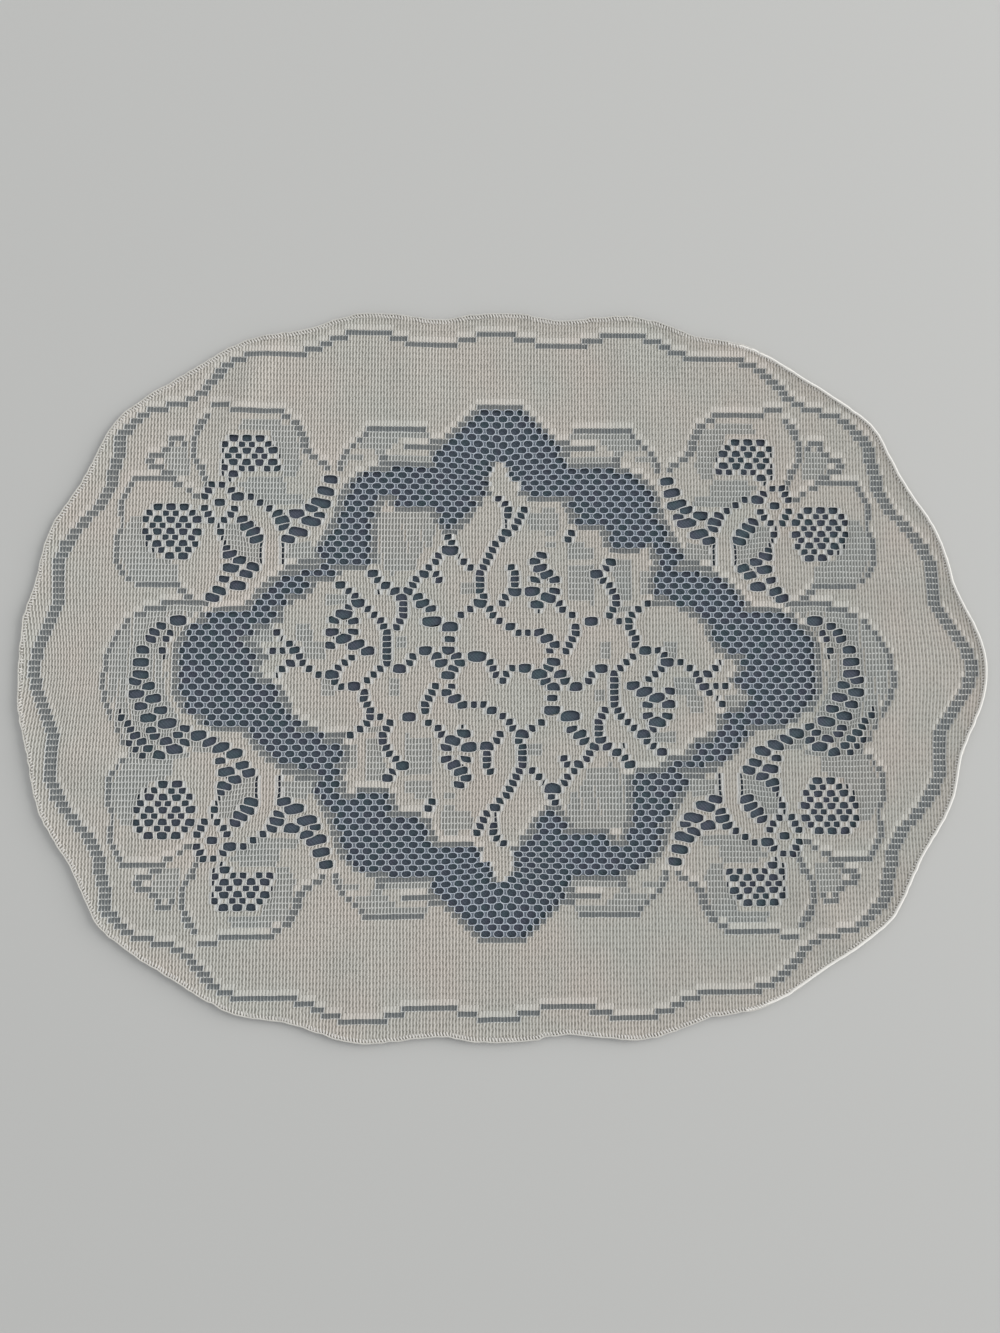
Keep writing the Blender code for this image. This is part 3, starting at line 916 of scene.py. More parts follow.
            pulls += self.sample(coarse, u.ravel(), v.ravel()).reshape(rows, columns, 2)
        self.pulls = pulls


def linear(hexadecimal: str) -> tuple[float, float, float, float]:
    """Turns an sRGB colour to the linear values that shaders take.

    Args:
        hexadecimal: The colour, as #rrggbb.

    Returns:
        Red, green, blue and alpha.
    """
    parts = [int(hexadecimal[n:n + 2], 16) / 255 for n in (1, 3, 5)]
    values = [p / 12.92 if p <= 0.04045 else ((p + 0.055) / 1.055)**2.4 for p in parts]
    return values[0], values[1], values[2], 1.0


def add_node(tree: bpy.types.NodeTree, kind: str, inputs: Optional[dict[Any, Any]] = None,
             **settings: Any) -> bpy.types.Node:
    """Adds a node.

    Args:
        tree: The tree that it joins.
        kind: The node's type.
        inputs: For each input, by name or number, a value or what feeds it: a node's output, or a
            node, which stands for its first output.
        settings: The node's own properties.

    Returns:
        The node.
    """
    node = tree.nodes.new(kind)
    for name, value in settings.items():
        setattr(node, name, value)
    for name, value in (inputs or {}).items():
        if isinstance(value, bpy.types.Node):
            value = value.outputs[0]
        if isinstance(value, bpy.types.NodeSocket):
            tree.links.new(value, node.inputs[name])
        else:
            node.inputs[name].default_value = value
    return node


def blank_material(name: str) -> bpy.types.Material:
    """Makes a material whose node tree is empty.

    Args:
        name: Its name.

    Returns:
        The material.
    """
    material = bpy.data.materials.new(name)
    material.use_nodes = True
    material.node_tree.nodes.clear()
    return material


@dataclass(frozen=True)
class Finish:
    """A finish of cotton yarn or cloth: what its surface shows, with lengths in millimetres.

    Bleached cotton is matt, with a faint sheen where it is seen edge on. Its streaks run along the
    ribs, one to a wale. The patch colours are the cloth's own cast from place to place. The fibre
    noise is drawn about three times as coarse as real cotton fibres, so that it shows.
    """

    name: str
    colour: str
    shade: str
    cast_a: str = "#fbf9f6"
    cast_b: str = "#f5f7f6"
    roughness: float = 0.92
    sheen: float = 0.2
    fibre: float = 0.35
    bump: float = 0.25
    bump_height: float = 0.15
    streak: float = 0.3
    streak_length: float = 40.0
    patch: float = 45.0

    def tinted(self, tree: bpy.types.NodeTree, colour: bpy.types.NodeSocket) -> bpy.types.NodeSocket:
        """Gives the base colour: the yarn's own, which a kind of finish may change."""
        return colour

    def woven(self, tree: bpy.types.NodeTree, place: bpy.types.NodeSocket,
              relief: bpy.types.Node) -> bpy.types.Node:
        """Gives the relief: the fibres' own, to which a kind of finish may add."""
        return relief

    def build(self) -> bpy.types.Material:
        """Builds the material.

        Returns:
            The material.
        """
        material = blank_material(self.name)
        tree = material.node_tree
        add = partial(add_node, tree)
        place = add("ShaderNodeTexCoord").outputs["Object"]
        patches = add("ShaderNodeTexNoise", {
            "Vector": place, "Scale": 1 / (self.patch * MM), "Detail": 2.0, "Roughness": 0.55})
        patch_level = add("ShaderNodeMapRange", {"Value": patches, "From Min": 0.35, "From Max": 0.65})
        cast = add("ShaderNodeMix", {
            0: patch_level, MIX_A: linear(self.cast_a), MIX_B: linear(self.cast_b)}, data_type="RGBA")
        length, fibre = self.streak_length * MM, self.fibre * MM
        along = add("ShaderNodeMapping", {
            "Vector": place, "Scale": (1 / (WALE * MM), 1 / length, 1 / length)})
        streaks = add("ShaderNodeTexNoise", {"Vector": along, "Scale": 1.0, "Detail": 2.0})
        grain = add("ShaderNodeMapping", {
            "Vector": place, "Scale": (1 / fibre, 0.25 / fibre, 1 / fibre)})
        fibres = add("ShaderNodeTexNoise", {
            "Vector": grain, "Scale": 1.0, "Detail": 3.0, "Roughness": 0.6})
        worn = add(MATH, {0: streaks, 1: fibres}, operation="ADD")
        level = add("ShaderNodeMapRange", {
            "Value": worn, "From Min": 0.65, "From Max": 1.35,
            "To Min": 0.5 - self.streak / 2, "To Max": 0.5 + self.streak / 2})
        yarn = add("ShaderNodeMix", {
            0: level, MIX_A: linear(self.shade), MIX_B: linear(self.colour)}, data_type="RGBA")
        colour = add("ShaderNodeMix", {
            0: 1.0, MIX_A: yarn.outputs[MIX_OUT], MIX_B: cast.outputs[MIX_OUT]},
            data_type="RGBA", blend_type="MULTIPLY")
        relief = add("ShaderNodeBump", {
            "Strength": self.bump, "Distance": self.bump_height * MM, "Height": fibres})
        shader = add("ShaderNodeBsdfPrincipled", {
            "Base Color": self.tinted(tree, colour.outputs[MIX_OUT]), "Roughness": self.roughness,
            "Sheen Weight": self.sheen, "Sheen Roughness": 0.5,
            "Normal": self.woven(tree, place, relief)})
        add("ShaderNodeOutputMaterial", {"Surface": shader})
        return material


@dataclass(frozen=True)
class BackingFinish(Finish):
    """Plain-woven cotton, dyed slate blue: its weave is a small check of over and under threads."""

    thread: float = 0.8
    weave_height: float = 0.2

    def woven(self, tree: bpy.types.NodeTree, place: bpy.types.NodeSocket,
              relief: bpy.types.Node) -> bpy.types.Node:
        """Adds the weave to the relief.

        Args:
            tree: The material's tree.
            place: Where each spot of the cloth is.
            relief: The fibres' relief.

        Returns:
            The relief of both.
        """
        add = partial(add_node, tree)
        parts = add("ShaderNodeSeparateXYZ", {0: place})
        half = math.pi / (self.thread * MM)
        warp, weft = (
            add(MATH, {0: add(MATH, {0: parts.outputs[axis], 1: half}, operation="MULTIPLY")},
                operation="SINE") for axis in ("X", "Y"))
        check = add(MATH, {0: warp, 1: weft}, operation="MULTIPLY")
        return add("ShaderNodeBump", {
            "Strength": 0.5, "Distance": self.weave_height * MM, "Height": check, "Normal": relief})


@dataclass(frozen=True)
class WebFinish(Finish):
    """The web between the ribs: yarn is laid across it at every row, with painted shade in small hollows
    between.

    The hollows stray up and down by a share of a row from gap to gap, as knitted rows do.
    """

    # Painted shade: the colour that the web is dimmed toward in its hollows.
    hollow_shade: str = "#cfcfcd"
    stray: float = 1.6
    stray_scale: float = 0.9

    def tinted(self, tree: bpy.types.NodeTree, colour: bpy.types.NodeSocket) -> bpy.types.NodeSocket:
        """Paints shade into the hollows by dimming the colour there.

        Args:
            tree: The material's tree.
            colour: The yarn's own colour.

        Returns:
            The colour with the painted shade of the hollows.
        """
        add = partial(add_node, tree)
        cell = add("ShaderNodeAttribute", attribute_name="cell").outputs["Vector"]
        parts = add("ShaderNodeSeparateXYZ", {0: cell})
        stray = add("ShaderNodeTexNoise", {"Vector": cell, "Scale": self.stray_scale, "Detail": 1.0})
        level = add(MATH, {0: stray, 1: self.stray, 2: parts.outputs["Y"]}, operation="MULTIPLY_ADD")
        turn = add(MATH, {0: level, 1: 2 * math.pi}, operation="MULTIPLY")
        wave = add(MATH, {0: turn}, operation="COSINE")
        # Painted shade, deepest in the middle of each hollow.
        dim = add("ShaderNodeMapRange", {"Value": wave, "From Min": -0.1, "From Max": 1.0})
        shaded = add("ShaderNodeMix", {0: dim, MIX_A: colour, MIX_B: linear(self.hollow_shade)},
                     data_type="RGBA", blend_type="MULTIPLY")
        return shaded.outputs[MIX_OUT]


@dataclass(frozen=True)
class FloorFinish:
    """A plain pale tabletop, painted matt: even, with barely any gloss."""

    name: str = "matt_painted_tabletop"
    colour: str = "#bebdb9"
    roughness: float = 0.85
    grain_height: float = 0.5

    def build(self) -> bpy.types.Material:
        """Builds the material.

        Returns:
            The material.
        """
        material = blank_material(self.name)
        add = partial(add_node, material.node_tree)
        place = add("ShaderNodeTexCoord").outputs["Object"]
        grain = add("ShaderNodeTexNoise", {"Vector": place, "Scale": 9.0, "Detail": 3.0})
        relief = add("ShaderNodeBump", {
            "Strength": 0.03, "Distance": self.grain_height * MM, "Height": grain})
        shader = add("ShaderNodeBsdfPrincipled", {
            "Base Color": linear(self.colour), "Roughness": self.roughness, "Normal": relief})
        add("ShaderNodeOutputMaterial", {"Surface": shader})
        return material


def group_tree(name: str, sockets: dict[str, str]) -> tuple[Any, Any]:
    """Starts a Geometry Nodes tree with a Geometry input and output and named inputs.

    Args:
        name: The tree's name.
        sockets: The kind of each further input, by its name.

    Returns:
        The tree and what its inputs give, by name.
    """
    tree = bpy.data.node_groups.new(name, "GeometryNodeTree")
    tree.interface.new_socket("Geometry", in_out="OUTPUT", socket_type="NodeSocketGeometry")
    for label, kind in {"Geometry": "Geometry", **sockets, "Yarn": "Material"}.items():
        tree.interface.new_socket(label, in_out="INPUT", socket_type="NodeSocket" + kind)
    return tree, tree.nodes.new("NodeGroupInput").outputs


def end_tree(tree: Any, geometry: bpy.types.Node, yarn: bpy.types.NodeSocket) -> Any:
    """Ends a tree: real geometry, smoothly shaded, in its finish.

    Args:
        tree: The tree.
        geometry: The node that gives its geometry.
        yarn: The finish.

    Returns:
        The tree.
    """
    real = add_node(tree, "GeometryNodeRealizeInstances", {0: geometry})
    smooth = add_node(tree, "GeometryNodeSetShadeSmooth", {"Geometry": real})
    dressed = add_node(tree, "GeometryNodeSetMaterial", {"Geometry": smooth, "Material": yarn})
    add_node(tree, "NodeGroupOutput", {0: dressed})
    return tree


def pillar_tree() -> Any:
    """Makes a tree that sets one stitch of a pillar on each point.

    The stitch is a ridge over one row, narrower at both ends, that leans to one side. Each point's
    width, length and slant are its own.

    Returns:
        The tree.
    """
    tree, given = group_tree("pillar_stitches", {
        "Height": "Float", "Wave": "Float", "Pinch": "Float", "Seed": "Int"})
    add = partial(add_node, tree)
    grid = add("GeometryNodeMeshGrid", {"Size X": 1.0, "Size Y": 1.0, "Vertices X": 3, "Vertices Y": 4})
    parts = add("ShaderNodeSeparateXYZ", {0: add("GeometryNodeInputPosition")})
    x, y = parts.outputs["X"], parts.outputs["Y"]
    away = add(MATH, {0: y}, operation="ABSOLUTE")
    squared = add(MATH, {0: away, 1: 2.0}, operation="POWER")
    outward = add(MATH, {0: squared, 1: 4.0}, operation="MULTIPLY")
    drawn_in = add(MATH, {0: outward, 1: given["Pinch"]}, operation="MULTIPLY")
    waist = add(MATH, {0: 1.0, 1: drawn_in}, operation="SUBTRACT")
    turn = add(MATH, {0: y, 1: 2 * math.pi}, operation="MULTIPLY")
    swing = add(MATH, {0: turn}, operation="SINE")
    sway = add(MATH, {0: swing, 1: given["Wave"]}, operation="MULTIPLY")
    aside = add(MATH, {0: x}, operation="ABSOLUTE")
    crest = add(MATH, {0: aside, 1: -2.0, 2: 1.0}, operation="MULTIPLY_ADD")
    ridge_top = add(MATH, {0: crest, 1: given["Height"]}, operation="MULTIPLY")
    slimmed = add(MATH, {0: waist, 1: 0.5, 2: 0.5}, operation="MULTIPLY_ADD")
    across = add(MATH, {0: x, 1: waist, 2: sway}, operation="MULTIPLY_ADD")
    tall = add(MATH, {0: ridge_top, 1: slimmed}, operation="MULTIPLY")
    shaped = add("ShaderNodeCombineXYZ", {0: across, 1: y, 2: tall})
    ridge = add("GeometryNodeSetPosition", {"Geometry": grid, "Position": shaped})
    width, length, slant = (
        add("GeometryNodeInputNamedAttribute", {"Name": label}, data_type="FLOAT")
        for label in ("width", "length", "slant"))
    uneven = add("FunctionNodeRandomValue", {
        RANDOM_LOW: 0.92, RANDOM_HIGH: 1.08, "Seed": given["Seed"]},
        data_type="FLOAT").outputs[RANDOM_OUT]
    wide = add(MATH, {0: width, 1: uneven}, operation="MULTIPLY")
    stitches = add("GeometryNodeInstanceOnPoints", {
        "Points": given["Geometry"], "Instance": ridge,
        "Rotation": add("ShaderNodeCombineXYZ", {2: slant}),
        "Scale": add("ShaderNodeCombineXYZ", {0: wide, 1: length, 2: uneven})})
    return end_tree(tree, stitches, given["Yarn"])


def thread_tree() -> Any:
    """Makes a tree that turns every line of edges into a smooth round thread.

    Returns:
        The tree.
    """
    tree, given = group_tree("threads", {"Thickness": "Float", "Spacing": "Float", "Facets": "Int"})
    add = partial(add_node, tree)
    lines = add("GeometryNodeMeshToCurve", {0: given["Geometry"]})
    rounded = add("GeometryNodeCurveSplineType", {0: lines}, spline_type="CATMULL_ROM")
    even = add("GeometryNodeResampleCurve", {"Curve": rounded, "Length": given["Spacing"]}, mode="LENGTH")
    radius = add(MATH, {0: given["Thickness"], 1: 0.5}, operation="MULTIPLY")
    ring = add("GeometryNodeCurvePrimitiveCircle", {
        "Resolution": given["Facets"], "Radius": radius}, mode="RADIUS")
    tube = add("GeometryNodeCurveToMesh", {"Curve": even, "Profile Curve": ring, "Fill Caps": True})
    return end_tree(tree, tube, given["Yarn"])


def overlock_tree() -> Any:
    """Makes a tree that wraps slanted stitches round a closed line of edges.

    Returns:
        The tree.
    """
    tree, given = group_tree("overlock", {
        "Count": "Int", "Reach": "Float", "Thickness": "Float", "Slant": "Float", "Seed": "Int"})
    add = partial(add_node, tree)
    line = add("GeometryNodeMeshToCurve", {0: given["Geometry"]})
    even = add("GeometryNodeResampleCurve", {"Curve": line, "Count": given["Count"]}, mode="COUNT")
    facing = add("FunctionNodeAlignRotationToVector", {
        "Vector": add("GeometryNodeInputTangent")}, axis="Y")
    sway = add("FunctionNodeRandomValue", {
        RANDOM_LOW: -0.18, RANDOM_HIGH: 0.18, "Seed": given["Seed"]},
        data_type="FLOAT").outputs[RANDOM_OUT]
    slant = add(MATH, {0: given["Slant"], 1: sway}, operation="ADD")
    turned = add("FunctionNodeRotateRotation", {
        0: facing, 1: add("ShaderNodeCombineXYZ", {2: slant})}, rotation_space="LOCAL")
    bead = add("GeometryNodeMeshUVSphere", {"Segments": 6, "Rings": 4, "Radius": 0.5})
    next_seed = add(MATH, {0: given["Seed"], 1: 7.0}, operation="ADD")
    uneven = add("FunctionNodeRandomValue", {
        RANDOM_LOW: 0.85, RANDOM_HIGH: 1.15, "Seed": next_seed}, data_type="FLOAT").outputs[RANDOM_OUT]
    size = add("ShaderNodeCombineXYZ", {
        0: add(MATH, {0: given["Reach"], 1: uneven}, operation="MULTIPLY"),
        1: add(MATH, {0: given["Thickness"], 1: 1.25}, operation="MULTIPLY"), 2: given["Thickness"]})
    stitches = add("GeometryNodeInstanceOnPoints", {
        "Points": even, "Instance": bead, "Rotation": turned, "Scale": size})
    return end_tree(tree, stitches, given["Yarn"])


def new_piece(name: str, mesh: bpy.types.Mesh) -> bpy.types.Object:
    """Puts a mesh in the scene.

    Args:
        name: The piece's name.
        mesh: The mesh, which takes the same name.

    Returns:
        The piece.
    """
    mesh.name = name
    piece = bpy.data.objects.new(name, mesh)
    bpy.context.scene.collection.objects.link(piece)
    return piece


def grown(name: str, source: bpy.types.Mesh, tree: Any, inputs: dict[str, Any]) -> bpy.types.Object:
    """Grows a piece from a plain mesh with a tree, and keeps the result as a plain mesh.

    Args:
        name: The piece's name.
        source: The points or edges that it grows on.
        tree: The Geometry Nodes tree.
        inputs: A value for each of its inputs, by name.

    Returns:
        The piece.
    """
    piece = new_piece(name + "_source", source)
    modifier = piece.modifiers.new("grow", "NODES")
    modifier.node_group = tree
    for label, value in inputs.items():
        modifier[tree.interface.items_tree[label].identifier] = value
    piece.update_tag()
    made = bpy.data.meshes.new_from_object(piece.evaluated_get(bpy.context.evaluated_depsgraph_get()))
    bpy.data.objects.remove(piece)
    return new_piece(name, made)


def lay_down(piece: bpy.types.Object, drape: Drape) -> None:
    """Takes a piece from the flat plane, in millimetres, to where it lies in the frame.

    Args:
        piece: The piece.
        drape: How the lace lies.
    """
    mesh = piece.data
    flat = np.empty(len(mesh.vertices) * 3)
    mesh.vertices.foreach_get("co", flat)
    mesh.vertices.foreach_set("co", drape.place(flat.reshape(-1, 3)).ravel())
    mesh.update()


def mesh_of(name: str, points: Sequence[Any], edges: Sequence[Any] = (),
            faces: Sequence[Any] = ()) -> bpy.types.Mesh:
    """Makes a mesh from its parts.

    Args:
        name: Its name.
        points: Where its points are.
        edges: The numbers of each edge's ends.
        faces: The numbers of each face's corners.

    Returns:
        The mesh.
    """
    mesh = bpy.data.meshes.new(name)
    mesh.from_pydata([tuple(p) for p in points], list(edges), list(faces))
    mesh.update()
    return mesh


class Web(IntEnum):
    """What each face of the web is, in the order of its finishes."""

    DENSE = 0
    BESIDE = 1
    GAUZE_VEIL = 2
    BAR_VEIL = 3
    SHEER = 4


@dataclass
class LaceGround:
    """The flat web of the lace, with every opening cut through. Sizes in millimetres.

    The small gaps of sheer and openwork stitch are closed by veils, dimmer than the web and a
    little lower, because the threads across them are too fine to lay one by one.
    """

    chart: Chart
    outline: list[Point]
    drape: Drape
    level: float = 0.3
    slot: float = 0.98
    slot_height: float = 2.1
    bar_slot: float = 1.22
    bar_height: float = 2.2
    slot_swell: float = 1.2
    slot_power: float = 4.0
    width_stray: Point = (0.88, 1.06)
    height_stray: Point = (0.9, 1.05)
    lean_stray: float = 0.12
    veil: float = 0.22
    side_margin: float = 0.13
    end_margin: float = -0.02
    hole_power: float = 7.0
    hole_lean: float = 0.3
    wide_hole: int = 4
    rim_clear: float = 1.2
    rim_step: float = 1.6
    seed: int = 11
    points: list[Point3] = field(default_factory=list)
    faces: list[tuple[int, ...]] = field(default_factory=list)
    veils: list[tuple[tuple[int, ...], Stitch]] = field(default_factory=list)
    loops: list[list[Point]] = field(default_factory=list)
    corners: dict[tuple[int, int], int] = field(default_factory=dict)

    def corner(self, i: int, j: int) -> int:
        """Gives the point at the lower left corner of a cell.

        Args:
            i: The cell's gap.
            j: Its row.

        Returns:
            The point's number.
        """
        if (i, j) not in self.corners:
            self.corners[i, j] = len(self.points)
            self.points.append(((i - 0.5) * WALE, (j - 0.5) * ROW, 0.0))
        return self.corners[i, j]

    def frame_of(self, first: int, last: int, j: int) -> list[int]:
        """Gives the corner points round a run of cells.

        Args:
            first: The run's first gap.
            last: Its last gap.
            j: Its row.

        Returns:
            The numbers of the points, anticlockwise.
        """
        low = [self.corner(i, j) for i in range(first, last + 2)]
        high = [self.corner(i, j + 1) for i in range(last + 1, first - 1, -1)]
        return low + high

    def pierce(self, first: int, last: int, j: int, opening: list[Point], drop: float = 0.0) -> list[int]:
        """Fills a run of cells but for one opening.

        Args:
            first: The run's first gap.
            last: Its last gap.
            j: Its row.
            opening: The opening's outline.
            drop: How far the opening's rim lies lower than the web.

        Returns:
            The opening's points.
        """
        around = self.frame_of(first, last, j)
        start = len(self.points)
        self.points += [(x, y, -drop) for x, y in opening]
        ids = around + list(range(start, start + len(opening)))
        outer = [Vector((*self.points[n][:2], 0)) for n in around]
        inner = [Vector((*p, 0)) for p in opening]
        for triangle in tessellate_polygon([outer, inner]):
            self.faces.append(tuple(ids[n] for n in triangle))
        return ids[len(around):]

    @staticmethod
    def rounded(x: float, y: float, width: float, height: float, power: float, count: int,
                skew: float = 0.0, tilt: float = 0.0) -> list[Point]:
        """Gives a rounded slot's outline.

        Args:
            x: Its middle.
            y: Its middle.
            width: Its width.
            height: Its height.
            power: How square it is: 2 is an ellipse.
            count: How many points it has.
            skew: How far its top leans to the right.
            tilt: How far its right end is higher.

        Returns:
            The outline, clockwise, as an opening's is.
        """
        loop = []
        for n in range(count):
            turn = -2 * math.pi * (n + 0.5) / count
            c, s = math.cos(turn), math.sin(turn)
            u = math.copysign(abs(c)**(2 / power), c) / 2
            v = math.copysign(abs(s)**(2 / power), s) / 2
            loop.append((x + u * width + v * skew, y + v * height + u * tilt))
        return loop

    def clear_cells(self) -> dict[tuple[int, int], Stitch]:
        """Gives the cells that lie wholly inside the edge.

        Returns:
            Their stitches, by gap and row.
        """
        kept = {}
        for (i, j), kind in self.chart.cells.items():
            xs = np.array([i - 0.5, i + 0.5, i + 0.5, i - 0.5]) * WALE
            ys = np.array([j - 0.5, j - 0.5, j + 0.5, j + 0.5]) * ROW
            if self.drape.depth(xs, ys).min() > self.rim_clear:
                kept[i, j] = kind
        return kept

    def lay_veil(self, i: int, j: int, kind: Stitch, dice: random.Random) -> None:
        """Fills a cell of sheer or openwork stitch: its frame, and the veil within.

        Args:
            i: The cell's gap.
            j: Its row.
            kind: Its stitch.
            dice: What sets it a little uneven.
        """
        wide, high = ((self.slot, self.slot_height) if kind is Stitch.GAUZE
                      else (self.bar_slot, self.bar_height))
        wide *= dice.uniform(*self.width_stray)
        high *= dice.uniform(*self.height_stray)
        opening = self.rounded(i * WALE, j * ROW, wide * self.slot_swell, high * self.slot_swell,
                               self.slot_power, 4, dice.uniform(-self.lean_stray, self.lean_stray))
        self.veils.append((tuple(reversed(self.pierce(i, i, j, opening, self.veil))), kind))

    def build(self) -> None:
        """Lays every cell of the chart."""
        dice = random.Random(self.seed)
        kept = self.clear_cells()
        for (i, j), kind in kept.items():
            if kind is Stitch.DENSE:
                self.faces.append(tuple(self.frame_of(i, i, j)))
            elif kind in (Stitch.GAUZE, Stitch.BAR):
                self.lay_veil(i, j, kind, dice)
        for first, last, j in self.chart.runs(Stitch.HOLE):
            count = last - first + 1
            lean = dice.uniform(-self.hole_lean, self.hole_lean)
            lean = lean * min(count, self.wide_hole) / self.wide_hole
            loop = self.rounded((first + last) / 2 * WALE, j * ROW, count * WALE - 2 * self.side_margin,
                                ROW - 2 * self.end_margin, self.hole_power,
                                12 if count < self.wide_hole else 16, lean,
                                dice.uniform(-self.lean_stray, self.lean_stray))
            self.pierce(first, last, j, loop)
            self.loops.append(loop)
        self.rim(kept)

    def face_up(self, face: tuple[int, ...]) -> tuple[int, ...]:
        """Turns a face over if it looks down.

        Args:
            face: The numbers of its corners.

        Returns:
            The face, anticlockwise seen from above.
        """
        corners = [self.points[n] for n in face]
        area = sum(a[0] * b[1] - b[0] * a[1] for a, b in zip(corners, [*corners[1:], corners[0]]))
        return face if area > 0 else tuple(reversed(face))

    def rim(self, kept: dict[tuple[int, int], Stitch]) -> None:
        """Joins the stepped cells to the smooth outline.

        Args:
            kept: The cells that lie wholly inside it.
        """
        sides = {(0, -1): ((0, 0), (1, 0)), (1, 0): ((1, 0), (1, 1)),
                 (0, 1): ((1, 1), (0, 1)), (-1, 0): ((0, 1), (0, 0))}
        steps = [(self.corner(i + a[0], j + a[1]), self.corner(i + b[0], j + b[1]))
                 for i, j in kept for (di, dj), (a, b) in sides.items() if (i + di, j + dj) not in kept]
        used = sorted({n for step in steps for n in step})
        order = {n: k for k, n in enumerate(used)}
        edge = smooth_path(four_quadrants(EDGE), True, self.rim_step)
        flat = [Vector(self.points[n][:2]) for n in used] + [Vector(p) for p in edge]
        bounds = [(order[a], order[b]) for a, b in steps] + ring(len(edge), len(used))
        verts, _, faces, origins, _, _ = delaunay_2d_cdt(flat, bounds, [], 0, 1e-6)
        ids = []
        for point, origin in zip(verts, origins):
            if origin and origin[0] < len(used):
                ids.append(used[origin[0]])
            else:
                ids.append(len(self.points))
                self.points.append((point.x, point.y, 0.0))
        for face in faces:
            x = sum(verts[n].x for n in face) / len(face)
            y = sum(verts[n].y for n in face) / len(face)
            if (round(x / WALE), round(y / ROW)) not in kept and within(edge, x, y):
                self.faces.append(tuple(ids[n] for n in face))

    def kind_of(self, i: int, j: int) -> Web:
        """Tells what the web is in a cell.

        Args:
            i: The cell's gap.
            j: Its row.

        Returns:
            Dense or sheer cloth, or cloth beside a wide opening.
        """
        kinds = [self.chart.get(n, j) for n in (i - 1, i, i + 1)]
        if kinds[1] in (Stitch.GAUZE, Stitch.BAR):
            return Web.SHEER
        beside = Stitch.HOLE in kinds or Stitch.NET in kinds
        return Web.DENSE if kinds[1] in (Stitch.DENSE, Stitch.NONE) and not beside else Web.BESIDE

    def piece(self, finishes: Sequence[Finish]) -> bpy.types.Object:
        """Makes the web's piece, still flat.

        Args:
            finishes: One finish for each member of Web.

        Returns:
            The piece.
        """
        self.build()
        web = new_piece("lace_ground", mesh_of(
            "lace_ground", [(x, y, z + self.level) for x, y, z in self.points],
            faces=[self.face_up(face) for face in self.faces + [slot for slot, _ in self.veils]]))
        kinds = [self.kind_of(round(f.center.x / WALE), round(f.center.y / ROW))
                 for f in web.data.polygons[:len(self.faces)]]
        kinds += [Web.GAUZE_VEIL if kind is Stitch.GAUZE else Web.BAR_VEIL for _, kind in self.veils]
        web.data.polygons.foreach_set("material_index", kinds)
        cells = web.data.attributes.new("cell", "FLOAT_VECTOR", "POINT")
        cells.data.foreach_set("vector", [v for x, y, _ in self.points for v in (x / WALE, y / ROW, 0.0)])
        for finish in finishes:
            web.data.materials.append(finish.build())
        web.data.shade_smooth()
        return web


